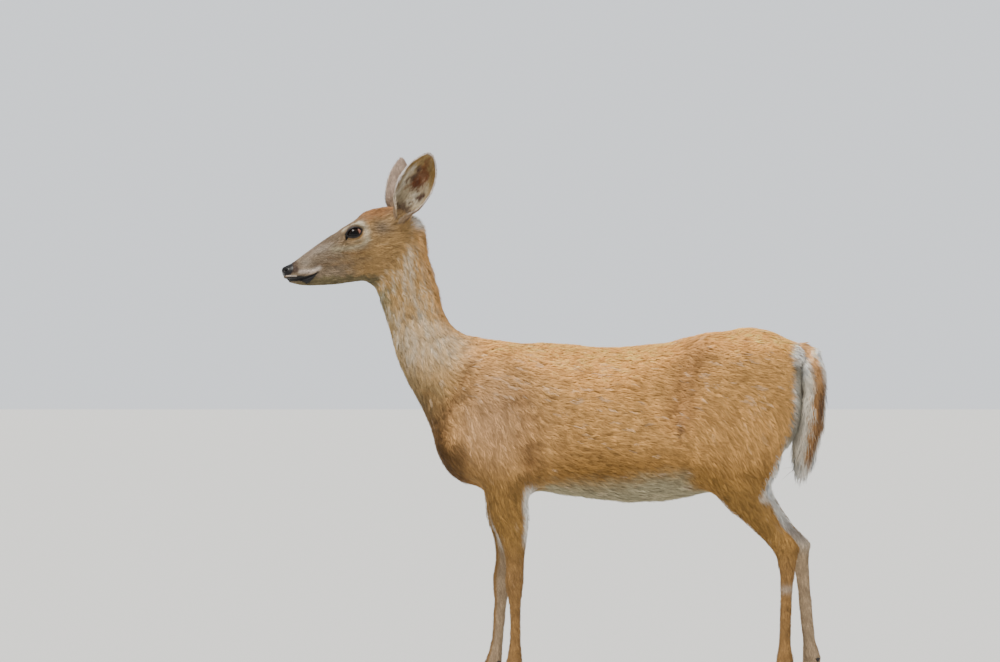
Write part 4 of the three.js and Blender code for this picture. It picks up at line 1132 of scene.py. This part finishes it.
# %% Finish the skin
def store_colour(mesh, name, values):
    layer = mesh.color_attributes.new(name, "FLOAT_COLOR", "POINT")
    rgba = np.ones((len(mesh.vertices), 4), np.float32)
    rgba[:, :3] = values
    layer.data.foreach_set("color", rgba.ravel())


def store_value(mesh, name, values):
    layer = mesh.attributes.new(name, "FLOAT", "POINT")
    layer.data.foreach_set("value", values.astype(np.float32))


def new_piece(name, mesh, material, slot, *stands_for):
    mesh.materials.clear()
    mesh.materials.append(material)
    piece = bpy.data.objects.new(name, mesh)
    bpy.context.scene.collection.objects.link(piece)
    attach(piece, "root")
    if stands_for:
        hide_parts(*stands_for)
    return piece


ROOT_SHADE = 0.88
shade = ROOT_SHADE + (1 - ROOT_SHADE) * np.maximum(bare, soft_step(140, 60, HS) * facing * 0.6)
store_colour(whole, "skin_colour", paint * shade[:, None])
store_value(whole, "bare", bare)
whole.polygons.foreach_set("use_smooth", np.ones(len(whole.polygons), bool))
SKIN_NODES = BODY_NODES + ["ear_left", "ear_right", "tail"]
new_piece("skin", whole, skin_material, "coat", *SKIN_NODES)
print("skin faces:", len(whole.polygons))

# %% [markdown]
# A deer's eye is large and nearly black, with a level oval pupil that shows only close up. The ball
# is a sphere with a slightly raised cornea. Its colours follow the distance from the gaze, which is
# kept as an attribute: pupil, dark iris, darker edge, and a reddish white towards the rear corner.

# %% Eyeballs
BALL_RADIUS = 17.2 * MM
GAZE = unit(np.array([1.0, -0.10, 0.02]))
IRIS = 0.80                   # reach of the iris from the gaze, in shares of the ball's radius

eye_material, tree, shader = new_material("dark_eye", 0.10, 0.18)
iris = node(tree, "ShaderNodeAttribute", attribute_name="from_gaze")
iris_ramp = tree.nodes.new("ShaderNodeValToRGB")
iris_ramp.color_ramp.elements[0].color = (*srgb(12, 9, 9), 1)
iris_ramp.color_ramp.elements[1].color = (*srgb(150, 104, 86), 1)
iris_ramp.color_ramp.elements[1].position = 0.94
for at, tint in ((0.34, (8, 6, 6)), (0.42, (22, 13, 9)), (0.70, (30, 18, 11)), (0.80, (10, 7, 7)),
                 (0.86, (96, 62, 50))):
    stop = iris_ramp.color_ramp.elements.new(at)
    stop.color = (*srgb(*tint), 1)
tree.links.new(iris.outputs["Fac"], iris_ramp.inputs["Fac"])
tree.links.new(iris_ramp.outputs["Color"], shader.inputs["Base Color"])


def make_eye(name, sign):
    bm = bmesh.new()
    bmesh.ops.create_uvsphere(bm, u_segments=48, v_segments=32, radius=1)
    out = np.array([v.co for v in bm.verts])
    gaze = GAZE * (sign, 1, 1)
    off = out - (out @ gaze)[:, None] * gaze
    from_gaze = np.linalg.norm(off * (1, 0.85, 1.25), axis=1)
    from_gaze = np.where(out @ gaze > 0, from_gaze, 1.0)
    rear = soft_step(0.54, 0.66, out[:, 1]) * soft_step(0.62, 0.40, np.abs(out[:, 2] - 0.10))
    from_gaze = np.maximum(0.84 * np.minimum(from_gaze, 1), 0.96 * rear)
    cornea = 1 + 0.05 * soft_step(IRIS, 0.2, np.linalg.norm(off, axis=1)) * (out @ gaze > 0)
    centre = EYE * (sign, 1, 1)
    for v, p in zip(bm.verts, from_head(centre + out * BALL_RADIUS * cornea[:, None])):
        v.co = p
    mesh = bpy.data.meshes.new(name)
    bm.to_mesh(mesh)
    bm.free()
    store_value(mesh, "from_gaze", from_gaze)
    mesh.polygons.foreach_set("use_smooth", np.ones(len(mesh.polygons), bool))
    return mesh


print("radius of the eyeball:", BALL_RADIUS)

# %% [markdown]
# A thin black rim of wet skin follows the edge of the lids and closes the gap between lid and ball. A
# small circle is spun into a ring, and the ring is then laid along the almond on the lids' own ball.

# %% Rims of the lids
rim_material, tree, shader = new_material("wet_lid_rim", 0.45, 0.2)
rim_colour = node(tree, "ShaderNodeRGB")
rim_colour.outputs[0].default_value = (*srgb(26, 21, 21), 1)
add_uneven(tree, shader, rim_colour.outputs[0], 900, 0.8, 1.3)


def slit_path(theta):
    """Points on the edge of the lids, as s and t."""
    cos, sin = np.cos(theta), np.sin(theta)
    tall = np.where(sin > 0, SLIT_UP, SLIT_DOWN)
    u = SLIT_HALF * np.sign(cos) * np.abs(cos) ** (2 / SLIT_POWERS[0])
    v = tall * np.sign(sin) * np.abs(sin) ** (2 / SLIT_POWERS[1])
    turn_cos, turn_sin = math.cos(SLIT_TILT), math.sin(SLIT_TILT)
    return SLIT[0] + u * turn_cos - v * turn_sin, SLIT[1] + v * turn_cos + u * turn_sin


RIM_THICK = 0.95 * MM
RING_THICK = 0.1              # thickness of the ring of radius 1 before it is laid on the lids


def make_rim(name, sign):
    bm = bmesh.new()
    upright = Matrix.Translation((1, 0, 0)) @ Matrix.Rotation(math.pi / 2, 4, "X")
    bmesh.ops.create_circle(bm, segments=8, radius=RING_THICK, matrix=upright)
    bmesh.ops.spin(bm, geom=bm.verts[:] + bm.edges[:], cent=(0, 0, 0), axis=(0, 0, 1),
                   angle=2 * math.pi, steps=72, use_merge=True)
    bmesh.ops.remove_doubles(bm, verts=bm.verts, dist=1e-4)
    ring_points = np.array([v.co for v in bm.verts])
    theta = np.arctan2(ring_points[:, 1], ring_points[:, 0])
    off = (np.hypot(ring_points[:, 0], ring_points[:, 1]) - 1) * RIM_THICK / RING_THICK
    s, t = slit_path(theta)
    lid = ball_x(s, t, LID_CENTRE, LID_RADIUS) - 0.5 * MM
    placed = np.stack([sign * (lid + ring_points[:, 2] * RIM_THICK / RING_THICK),
                       s + off * np.cos(theta + SLIT_TILT), t + off * np.sin(theta + SLIT_TILT)], 1)
    for v, p in zip(bm.verts, from_head(placed)):
        v.co = p
    bmesh.ops.recalc_face_normals(bm, faces=bm.faces)
    mesh = bpy.data.meshes.new(name)
    bm.to_mesh(mesh)
    bm.free()
    mesh.polygons.foreach_set("use_smooth", np.ones(len(mesh.polygons), bool))
    return mesh


for name, sign in (("left", 1), ("right", -1)):
    new_piece(f"eyeball_{name}", make_eye(f"eyeball_{name}", sign), eye_material, "eye", f"eye_{name}")
    new_piece(f"lid_rim_{name}", make_rim(f"lid_rim_{name}", sign), rim_material, "nose")
print("eyes set, rim in mm:", RIM_THICK / MM)

# %% [markdown]
# Hooves are horn: hard, dark and smooth, with fine rings where they grow from the coronet. Copies of
# the solid toes are remeshed finely and relaxed, so their edges are worn round, but the soles stay
# flat on the floor.

# %% Hooves and dewclaws
horn_material, tree, shader = new_material("hoof_horn", 0.42, 0.45)
place_of = node(tree, "ShaderNodeTexCoord")
rings = node(tree, "ShaderNodeTexWave", bands_direction="Z", Scale=70.0, Distortion=5.0, Detail=3.0)
rings.inputs["Detail Scale"].default_value = 2.0
horn = tree.nodes.new("ShaderNodeValToRGB")
horn.color_ramp.elements[0].color = (*srgb(34, 29, 26), 1)
horn.color_ramp.elements[1].color = (*srgb(46, 40, 35), 1)
bump = node(tree, "ShaderNodeBump", Strength=0.12, Distance=0.0005)
tree.links.new(place_of.outputs["Object"], rings.inputs["Vector"])
tree.links.new(rings.outputs["Fac"], horn.inputs["Fac"])
tree.links.new(rings.outputs["Fac"], bump.inputs["Height"])
tree.links.new(bump.outputs["Normal"], shader.inputs["Normal"])
add_uneven(tree, shader, horn.outputs["Color"], 160, 0.75, 1.2)

HOOF_VOXEL = 1.7 * MM
HORN_NODES = [n for n in nodes if n.startswith(("hoof_", "dewclaw_"))]
for name in HORN_NODES:
    block = joined_copy([name])
    smooth = with_modifier(block, "REMESH", mode="VOXEL", voxel_size=HOOF_VOXEL)
    co_hoof = positions(smooth)
    links = Neighbours(smooth)
    sole = co_hoof[:, 2] < 0.6 * MM
    co_hoof = links.soften(co_hoof, 14)
    middle = co_hoof.mean(0)
    if name.startswith("hoof"):
        high = soft_step(0.010, 0.046, co_hoof[:, 2])[:, None]
        ends = co_hoof[:, 1].min(), co_hoof[:, 1].max()
        ahead = soft_step(ends[1], ends[0], co_hoof[:, 1])[:, None]
        co_hoof += (middle - co_hoof) * (0.16, 0.10, 0) * high + ahead * high * (0, 9 * MM, -2 * MM)
        for _ in range(30):       # the horn is rounded only near its top, which moves as it goes
            co_hoof = links.soften(co_hoof, 1, soft_step(0.030, 0.040, co_hoof[:, 2:]))
    co_hoof += normals(smooth) * 0.5 * MM
    co_hoof[:, 2] = np.where(sole, 0.0, np.maximum(co_hoof[:, 2], 0.0))
    place(smooth, co_hoof)
    smooth.polygons.foreach_set("use_smooth", np.ones(len(smooth.polygons), bool))
    new_piece("horn_" + name, smooth, horn_material, "hoof", name)
print("hooves and dewclaws:", len(HORN_NODES))

# %% [markdown]
# Hair is grown as solid tufts, because particle hair would be lost when the model is exported. A tuft
# is a slim closed lock of five points: a root, three round its thickest place, and a tip. It starts
# just under the skin, lies along the coat, and its tip reaches the outline of the solid. Each point
# of the skin says how long, how wide and how raised its hair is: long on rump, belly and tail, short
# on the shins, and shortest on the face and round the eyes.

# %% Length, width and rise of the hair
LOCKS = {  # length, width and rise above the skin in mm
    "trunk": (17, 1.8, 6.0), "neck": (24, 1.8, 7.0), "head": (8, 1.0, 3.0),
    "foreleg": (15, 1.7, 4.0), "hindleg": (18, 1.8, 5.0), "ear": (7, 1.1, 2.0), "tail": (46, 2.4, 13.0),
}


SHIN_LOCK, EYE_LOCK = np.array([8.0, 1.15, 2.0]), np.array([2.6, 0.6, 0.8])
DOCK_LOCK, EAR_ROOT_LOCK = np.array([20, 1.9, 5.0]), np.array([17, 1.5, 6.0])


def locks_of(name):
    for key, value in LOCKS.items():
        if name.startswith(key):
            return value


def towards(values, share, goal):
    """Blends each row towards the goal by its share."""
    return values * (1 - share) + goal * share


locks = np.array([locks_of(n) for n in PARTS], float)[part]
shin = (leg * soft_step(0.46, 0.36, z))[:, None]
locks = towards(locks, shin, SHIN_LOCK)
locks += np.outer(soft_step(0.075, 0.055, z), (6.0, 0.0, 1.5))
locks[:, 0] += 7 * rump + 4 * belly
nape = soft_step(0.4, 0.8, nrm[:, 1]) * soft_step(0.93, 1.00, z) * soft_step(1.16, 1.12, z)
locks[:, 2] += 7.0 * on_neck * nape
locks[:, 2] += 4 * rump + 1.5 * belly
locks = near.spread(locks, 12)
print("mean lock of the body in mm:", locks.mean(0).round(1))

# %% [markdown]
# On the face the hair grows longer and coarser from the nose to the crown. No hair grows on bare
# skin, inside the lids or below the tail's root. Round the roots of the ears it is deep, and covers
# the join, and at the ear's front rim a long fringe stands across the opening.

# %% Hair of the face, the ears and the tail
FACE_LOCKS = np.array([  # s in mm, then length, width and rise
    (20, 2.2, 0.6, 0.7), (60, 4.2, 0.8, 1.2), (140, 6.5, 1.05, 2.2), (230, 9, 1.3, 3.0),
    (300, 13, 1.6, 4.5),
])
face_locks = np.stack([np.interp(HS, FACE_LOCKS[:, 0], FACE_LOCKS[:, k]) for k in (1, 2, 3)], 1)
locks = towards(locks, (facing * is_part("head"))[:, None], face_locks)
locks = towards(locks, soft_step(4.5, 1.6, level)[:, None], EYE_LOCK)
grows = (1 - soft_step(0.25, 0.5, bare)) * soft_step(0.036, 0.042, z)
grows *= 1 - soft_step(1.6, 1.4, level)
grows *= 1 - is_part("tail") * soft_step(0.602, 0.594, y) * (z > 0.80) * (nrm[:, 2] < 0.1)
grows *= 1 - is_part("tail") * soft_step(-0.42, -0.60, nrm[:, 2])
dock = is_part("tail") * soft_step(0.73, 0.80, z)
locks = towards(locks, dock[:, None], DOCK_LOCK)
tail_front = is_part("tail") * soft_step(-0.2, -0.7, nrm[:, 1]) * soft_step(0.62, 0.68, z)
locks *= 1 - tail_front[:, None] * (0.10, 0.0, 0.45)
ear_roots = np.zeros(count)
for name, (root, *_) in EARS.items():
    off = np.linalg.norm(q - root, axis=1)
    ear_roots = np.maximum(ear_roots, soft_step(46, 26, off) * is_part("head"))
locks = towards(locks, ear_roots[:, None], EAR_ROOT_LOCK)
locks[:, 0] += 9 * behind_ear * is_part("head", "neck")
locks[:, 2] += 4 * behind_ear * is_part("head", "neck")
front_rim = inside * soft_step(-0.45, -0.85, g) * soft_step(0.04, 0.10, f) * soft_step(0.70, 0.45, f)
locks[:, 0] += 9 * front_rim
print("mean lock in mm:", locks.mean(0).round(1))

# %% [markdown]
# The lie of the hair was found before for the body. On the ears it runs to the tip, and at the front
# rim across the opening. On the tail it hangs down, but at the dock it still streams back from the
# croup. Everywhere it is made square to the skin's normal, so that no tuft points into the skin.

# %% Lie of the hair on the whole skin
lie_all = np.zeros((count, 3))
lie_all[: len(lie)] = lie
for name in ("ear_left", "ear_right"):
    _, _, _, _, around, axis = ears[name]
    here = is_part(name)
    lie_all[here] = head_vectors(axis + around * 0.9 * front_rim[here][:, None])
    mine = ear_roots * (np.sign(q[:, 0]) == np.sign(EARS[name][0][0]))
    lie_all += 2.2 * mine[:, None] * head_vectors(axis)
lie_all[on_tail] = (0, -0.06, -1)
lie_all[on_tail] += np.outer(dock[on_tail], (0, 0.85, 0.35))
lie_all[:, 2] -= 0.5 * soft_step(0.35, 0.50, y) * soft_step(0.80, 0.60, z) * is_part("trunk", *LEGS)
lie_all = unit(lie_all - (lie_all * nrm).sum(1)[:, None] * nrm)
print("mean lie of the trunk's hair:", lie_all[is_part("trunk")].mean(0).round(2))

# %% [markdown]
# Roots are scattered over the skin's triangles, more thickly where the tufts are small, so that they
# cover the skin alike. A root takes its values from the three corners of its triangle.

# %% Scattering the roots
whole.calc_loop_triangles()
tris = np.empty(len(whole.loop_triangles) * 3, np.int32)
whole.loop_triangles.foreach_get("vertices", tris)
tris = tris.reshape(-1, 3)
corner = co[tris]
crossed = np.cross(corner[:, 1] - corner[:, 0], corner[:, 2] - corner[:, 0])
tri_area = 0.5 * np.linalg.norm(crossed, axis=1)
lock_area = 0.6 * locks[:, 0] * locks[:, 1] * MM * MM
tri_wish = tri_area * (grows / lock_area)[tris].mean(1)


def scatter(chosen, wanted):
    """Roots on the chosen triangles: which triangle, and the weights of its corners."""
    wish = tri_wish * chosen
    edge = np.cumsum(wish)
    marks = (np.arange(wanted) + rng.random(wanted)) / wanted * edge[-1]
    picked = np.minimum(np.searchsorted(edge, marks), len(tris) - 1)
    a, b = rng.random((2, wanted))
    a = np.sqrt(a)
    return picked, np.stack([1 - a, a * (1 - b), a * b], 1)


def blend_at(values, picked, weights):
    taken = values[tris[picked]]
    if values.ndim == 1:
        return (taken * weights).sum(1)
    return (taken * weights[..., None]).sum(1)


print("triangles to grow hair on:", int((tri_wish > 0).sum()))

# %% [markdown]
# Hair never lies in single threads. It clings together in locks, which catch the light as one. The
# tufts nearest to a chosen one form its lock, lean towards it and share its tone. Locks are longer
# than wide, so the distance along the hair counts for less.

# %% Gathering tufts into locks
TUFTS_PER_LOCK = 9
GATHER = 0.55                 # how far a tuft's tip is drawn to the middle of its lock


def gather(spots, wanted):
    """Shares the tufts out among locks: the lock of each, and the tuft at the middle of each lock."""
    middle = rng.choice(len(spots), wanted, replace=False)
    tree = KDTree(wanted)
    for i, p in enumerate(spots[middle]):
        tree.insert(p, i)
    tree.balance()
    return np.array([tree.find(p)[1] for p in spots]), middle


def drawn_together(tip, ahead, length, lock, middle):
    """Moves the tips towards the middle of their lock, mostly sideways."""
    pull = tip[middle[lock]] - tip
    pull -= 0.8 * (pull * ahead).sum(1)[:, None] * ahead
    near_enough = soft_step(2.5, 1.0, np.linalg.norm(pull, axis=1) / (0.35 * length))
    return tip + (GATHER * near_enough)[:, None] * pull


print("tufts in a lock:", TUFTS_PER_LOCK)

# %% [markdown]
# Tones vary from lock to lock, and less from tuft to tuft. A tuft is darkest at its root, where
# little light reaches, and lightest at its tip. On the shoulder and the haunch some locks get pale
# tips as painted highlights, where the locks catch the light.

# %% Tones of the tufts
TUFT_POINTS = 5
ROOT_TONE = 0.76
HIGHLIT_PLACES = [(-0.115, 0.735, 0.085, 0.085), (0.360, 0.765, 0.075, 0.070), (0.470, 0.700, 0.070, 0.080),
           (-0.180, 0.640, 0.050, 0.060), (0.080, 0.720, 0.120, 0.050)]   # y, z and reach along each


def where_highlit(p):
    """The shoulder and the haunch, where chosen locks get pale tips as painted highlights."""
    most = np.zeros(len(p))
    for y, z, reach_y, reach_z in HIGHLIT_PLACES:
        most = np.maximum(most, hump(p[:, 1], y, reach_y) * hump(p[:, 2], z, reach_z))
    return most


def tuft_colours(root, drawn_out, tint, lock, middle, highlight_share):
    """A colour for each point of each tuft."""
    lock_tone = 1 + 0.14 * rng.normal(size=len(middle))
    tone = lock_tone[lock] + 0.06 * ripple(drawn_out, 0.009, 73) + 0.05 * ripple(root, 0.05, 74)
    tone = np.clip(tone + 0.08 * rng.normal(size=len(root)), 0.6, 1.4)
    clustered = soft_step(0, 1, ripple(drawn_out[middle], 0.016, 75))
    chance = 0.02 + 0.5 * where_highlit(root[middle]) * clustered
    # Painted highlights: chosen locks on the shoulder and the haunch get pale tips, and dark hair gets
    # none.
    highlit_lock = (rng.random(len(middle)) < chance)[lock]
    frost = 0.38 * highlit_lock * varied(0.5, 0.5, len(root)) * highlight_share
    frost *= soft_step(0.05, 0.16, tint.mean(1))     # dark hair keeps its dark tips
    tint = over(tint, "frost", frost)
    colour = np.empty((len(root), TUFT_POINTS, 3))
    colour[:, 0] = tint * (ROOT_TONE * tone)[:, None]
    colour[:, 1:4] = (tint * tone[:, None])[:, None]
    colour[:, 4] = tint * (tone * varied(1.06, 0.12, len(root)))[:, None]
    return np.clip(colour, 0.002, 0.98)


print("frosted places:", len(HIGHLIT_PLACES))

# %% [markdown]
# All tufts of a piece are shaped at once with arrays. Their shading normals follow the skin and lean
# out from the middle of the lock, so the coat reads as one soft, softly parted surface and not as
# thousands of little blades.

# %% Shapes of the tufts
RING = (0.40, 1.0, 0.62)      # the ring's share of the length, of the width and of the rise
WILD = 0.13                   # how much single tufts stray from the lie of the coat


def combed(root, up, ahead):
    """The way each tuft lies: along the coat with small swirls, and square to the skin's normal."""
    swirl = 0.16 * ripple(root, 0.040, 71) + 0.10 * ripple(root, 0.015, 72)
    swirl = swirl + WILD * rng.normal(size=len(root))
    ahead = unit(ahead + swirl[:, None] * np.cross(up, ahead))
    ahead = unit(ahead - (ahead * up).sum(1)[:, None] * up)
    return ahead, np.cross(up, ahead)


def tuft_points(root, up, ahead, sideways, length, width, rise, bend, lock, middle):
    points = np.empty((len(root), TUFT_POINTS, 3))
    share, fat, high = RING
    points[:, 0] = root - up * (0.10 * rise)[:, None]
    spine = root + ahead * (share * length)[:, None] + up * (high * rise)[:, None]
    spine = spine - sideways * bend[:, None]
    points[:, 1] = spine - sideways * (fat * width)[:, None]
    points[:, 2] = spine + up * (0.5 * fat * width)[:, None]
    points[:, 3] = spine + sideways * (fat * width)[:, None]
    tip = root + ahead * length[:, None] + up * rise[:, None] + sideways * bend[:, None]
    points[:, 4] = drawn_together(tip, ahead, length, lock, middle)
    return points


def tuft_normals(root, up, ahead, sideways, length, lock, middle):
    shading = np.empty((len(root), TUFT_POINTS, 3))
    off = ((root - root[middle[lock]]) * sideways).sum(1) / (0.25 * length)
    lean = unit(up + 0.45 * np.clip(off, -1, 1)[:, None] * sideways)
    shading[:, 0] = lean
    shading[:, 1] = unit(lean - 0.35 * sideways)
    shading[:, 2] = lean
    shading[:, 3] = unit(lean + 0.35 * sideways)
    shading[:, 4] = unit(lean + 0.3 * ahead)
    return shading


print("ring of a tuft:", RING)

# %% [markdown]
# Many thousands of like pieces are joined in one mesh, filled from arrays. Each tuft has six faces
# and its own small patch on the UV map, at its root's place, so that a texture on the map can keep
# the colour of every tuft apart.

# %% One mesh of many tufts
TUFT_FACES = np.array([(3, 1, 0), (2, 3, 0), (1, 2, 0), (1, 3, 4), (3, 2, 4), (2, 1, 4)])
TUFT_SIDES = len(TUFT_FACES)
PATCH = 0.003                 # side of a tuft's patch, as a share of the map
PATCH_U = np.array([0.5, 0, 0.5, 1, 0.5]) * PATCH
PATCH_V = np.array([0, 0.4, 0.4, 0.4, 1]) * PATCH


def joined_tufts(name, points, colour, shading, u0, v0):
    """One mesh of all the tufts, with their colours, patches and normals."""
    total = len(points)
    mesh = bpy.data.meshes.new(name)
    mesh.vertices.add(total * TUFT_POINTS)
    mesh.loops.add(total * TUFT_SIDES * 3)
    mesh.polygons.add(total * TUFT_SIDES)
    mesh.vertices.foreach_set("co", points.astype(np.float32).ravel())
    corners = TUFT_FACES[None] + TUFT_POINTS * np.arange(total)[:, None, None]
    corners = corners.astype(np.int32).ravel()
    mesh.loops.foreach_set("vertex_index", corners)
    mesh.polygons.foreach_set("loop_start", np.arange(total * TUFT_SIDES, dtype=np.int32) * 3)
    mesh.update(calc_edges=True)
    store_colour(mesh, "hair_colour", colour.reshape(-1, 3))
    uv = np.stack([u0[:, None] * (1 - PATCH) + PATCH_U, v0[:, None] * (1 - PATCH) + PATCH_V], 2)
    layer = mesh.uv_layers.new(name="OFBake")
    layer.data.foreach_set("uv", uv.reshape(-1, 2)[corners].astype(np.float32).ravel())
    mesh.polygons.foreach_set("use_smooth", np.ones(total * TUFT_SIDES, bool))
    mesh.normals_split_custom_set_from_vertices(shading.reshape(-1, 3).astype(np.float32))
    return mesh


print("faces of a tuft:", TUFT_SIDES)

# %% [markdown]
# Growing a piece brings these steps together: blend the values at the roots, comb, draw lengths,
# widths and rises by chance, gather into locks, then shape, shade and colour, and join in one mesh.

# %% Growing a piece of the coat
def grow(name, picked, weights, unwrap, slot, highlight_share):
    """Makes one piece of tufts on the given roots."""
    root = blend_at(co, picked, weights)
    up = unit(blend_at(nrm, picked, weights))
    size = blend_at(locks, picked, weights) * MM
    tint = blend_at(paint, picked, weights)
    total = len(root)
    ahead, sideways = combed(root, up, blend_at(lie_all, picked, weights))
    length = size[:, 0] * varied(0.75, 0.5, total)
    width = 0.5 * size[:, 1] * varied(0.8, 0.4, total)
    rise = size[:, 2] * varied(0.72, 0.42, total)
    bend = 0.06 * length * rng.normal(size=total)
    main = unit(ahead.mean(0))
    drawn_out = root - 0.80 * np.outer(root @ main, main)
    lock, middle = gather(drawn_out, total // TUFTS_PER_LOCK)
    rise *= np.clip(1 + 0.14 * rng.normal(size=len(middle))[lock], 0.7, 1.3)
    points = tuft_points(root, up, ahead, sideways, length, width, rise, bend, lock, middle)
    shading = tuft_normals(root, up, ahead, sideways, length, lock, middle)
    colour = tuft_colours(root, drawn_out, tint, lock, middle, highlight_share)
    mesh = joined_tufts(name, points, colour, shading, *unwrap(root, picked))
    new_piece(name, mesh, hair_material, slot)
    print(name, "tufts:", total)
    return total


print("ready to grow on", len(tris), "triangles")

# %% [markdown]
# The unwrap that a tuft's patch lies on is the skin's own shape rolled flat: how far along the part,
# and which way round it. Every band of the trunk, and every leg, ear, head and neck has its own.

# %% Unwraps of the parts
def rolled(along, centre, low, high, plane):
    """A flat map of a part: the angle round its axis, and how far along it a point lies."""
    def unwrap(root, _):
        a, b = plane
        angle = np.arctan2(root[:, a] - centre[0], root[:, b] - centre[1])
        span = (root @ along - low) / (high - low)
        return (angle / (2 * math.pi) + 0.5), np.clip(span, 0, 1)
    return unwrap


def unwrap_for(name, roots_at):
    """The rolled map of a part, whose ends are those of its own points."""
    if name == "trunk":
        along, centre, plane = np.array([0, 1.0, 0]), (0.0, 0.69), (0, 2)
    elif name == "head":
        along, centre, plane = head_vectors(np.array([0, 1.0, 0])), None, (0, 2)
    else:
        along, centre, plane = np.array([0, 0, 1.0]), None, (0, 1)
    if centre is None:
        centre = (roots_at[:, plane[0]].mean(), roots_at[:, plane[1]].mean())
    reach = roots_at @ along
    return rolled(along, centre, reach.min(), reach.max(), plane)


def ear_unwrap(root, picked):
    spot_f, spot_g, spot_outer = extra[tris[picked, 0]].T
    return (spot_g + 1) / 4 + 0.5 * (spot_outer > 0.5), np.clip((spot_f + 0.13) / 1.13, 0, 1)


print("parts with an unwrap:", len(PARTS))

# %% [markdown]
# The coat is grown part by part. A piece stays well under 200,000 triangles, so the trunk and the
# head are divided along their length, at places where each division has its fair share of hair.

# %% The coat
COAT_PIECES = [  # part, number of pieces along its length, tufts in each, slot
    ("trunk", 3, 30000, "coat"), ("neck", 1, 25000, "coat"), ("head", 2, 23000, "face_coat"),
    ("foreleg_left", 1, 12000, "leg_coat"), ("foreleg_right", 1, 12000, "leg_coat"),
    ("hindleg_left", 1, 16000, "leg_coat"), ("hindleg_right", 1, 16000, "leg_coat"),
    ("ear_left", 1, 9500, "face_coat"), ("ear_right", 1, 8500, "face_coat"),
    ("tail", 1, 9000, "tail_coat"),
]
tri_part = part[tris[:, 0]]
tri_middle = corner.mean(1)
tri_along = np.where(tri_part == PARTS.index("head"), to_head(tri_middle)[:, 1], tri_middle[:, 1])
grown = 0
for name, bands, each, slot in COAT_PIECES:
    here = tri_part == PARTS.index(name)
    order = np.argsort(tri_along[here])
    share = np.cumsum(tri_wish[here][order])
    cuts = tri_along[here][order][np.searchsorted(share, share[-1] * np.arange(1, bands) / bands)]
    band = np.searchsorted(cuts, tri_along)
    for k in range(bands):
        chosen = here & (band == k)
        picked, weights = scatter(chosen, each)
        unwrap = ear_unwrap if name.startswith("ear") else unwrap_for(name, tri_middle[chosen])
        label = f"hair_{name}" + (f"_{k + 1}" if bands > 1 else "")
        # Painted highlights on pale lock tips are fullest on the trunk and the neck.
        highlight_share = 1.0 if name in ("trunk", "neck") else 0.3
        grown += grow(label, picked, weights, unwrap, slot, highlight_share)
print("tufts in all:", grown, "triangles:", grown * TUFT_SIDES)

# %% [markdown]
# The floor is a plain, pale, matt sheet, large enough to reach the horizon.

# %% Floor
FLOOR_COLOUR = srgb(224, 224, 222)
FLOOR_HALF = 30
floor_material, tree, shader = new_material("pale_floor", 0.9, 0.2)
grain = node(tree, "ShaderNodeTexNoise", Scale=3.0)
mix = node(tree, "ShaderNodeMix", data_type="RGBA")
mix.inputs[6].default_value = (*FLOOR_COLOUR, 1)
mix.inputs[7].default_value = (*(FLOOR_COLOUR * 0.97), 1)
tree.links.new(grain.outputs["Fac"], mix.inputs[0])
tree.links.new(mix.outputs[2], shader.inputs["Base Color"])

bm = bmesh.new()
bmesh.ops.create_grid(bm, x_segments=2, y_segments=2, size=FLOOR_HALF)
floor_mesh = bpy.data.meshes.new("floor")
bm.to_mesh(floor_mesh)
bm.free()
floor_mesh.materials.append(floor_material)
floor = bpy.data.objects.new("floor", floor_mesh)
bpy.context.scene.collection.objects.link(floor)
print("floor:", 2 * FLOOR_HALF, "m square")

# %% [markdown]
# One very soft lamp shines from high up on her left side, as daylight does, and an even sky fills
# the shadows. Seen directly, the sky is shown brighter than it shines, so that the backdrop is pale.

# %% Light
SKY_LIGHT, SKY_SEEN = 0.72, 1.43       # the sky's strength as light, and as the plain backdrop
world = bpy.data.worlds.new("studio")
world.use_nodes = True
backdrop = world.node_tree.nodes["Background"]
backdrop.inputs["Color"].default_value = (*srgb(226, 230, 235), 1)
seen = node(world.node_tree, "ShaderNodeLightPath")
strength = node(world.node_tree, "ShaderNodeMapRange")
strength.inputs["To Min"].default_value, strength.inputs["To Max"].default_value = SKY_LIGHT, SKY_SEEN
world.node_tree.links.new(seen.outputs["Is Camera Ray"], strength.inputs["Value"])
world.node_tree.links.new(strength.outputs["Result"], backdrop.inputs["Strength"])
bpy.context.scene.world = world

LAMP_HEADING = Vector((-0.42, 0.16, -1.0))
sky = bpy.data.lights.new("soft_sky", "SUN")
sky.energy, sky.angle, sky.color = 4.45, math.radians(28), (1.0, 0.965, 0.90)
sky_lamp = bpy.data.objects.new("soft_sky", sky)
sky_lamp.rotation_euler = LAMP_HEADING.to_track_quat("-Z", "Y").to_euler()
bpy.context.scene.collection.objects.link(sky_lamp)
print("lamp:", round(sky.energy, 2), "sky:", SKY_LIGHT)

# %% [markdown]
# The camera looks at her left side, nearly level and from far off, as a long lens does. So the near
# and the far legs look alike in size.

# %% Camera
CAMERA_AWAY = 13.2
CAMERA_ABOVE = 0.12           # how much higher it is than the point it looks at
LOOK_AT = (0.0, -0.129, 0.882)
camera = bpy.data.objects.new("camera", bpy.data.cameras.new("camera"))
camera.data.lens = 200
camera.data.sensor_width = 36
camera.data.clip_end = 100
camera.location = (CAMERA_AWAY, LOOK_AT[1], LOOK_AT[2] + CAMERA_ABOVE)
camera.rotation_euler = (Vector(LOOK_AT) - camera.location).to_track_quat("-Z", "Y").to_euler()
bpy.context.scene.collection.objects.link(camera)
bpy.context.scene.camera = camera
print("camera at:", tuple(round(v, 2) for v in camera.location))
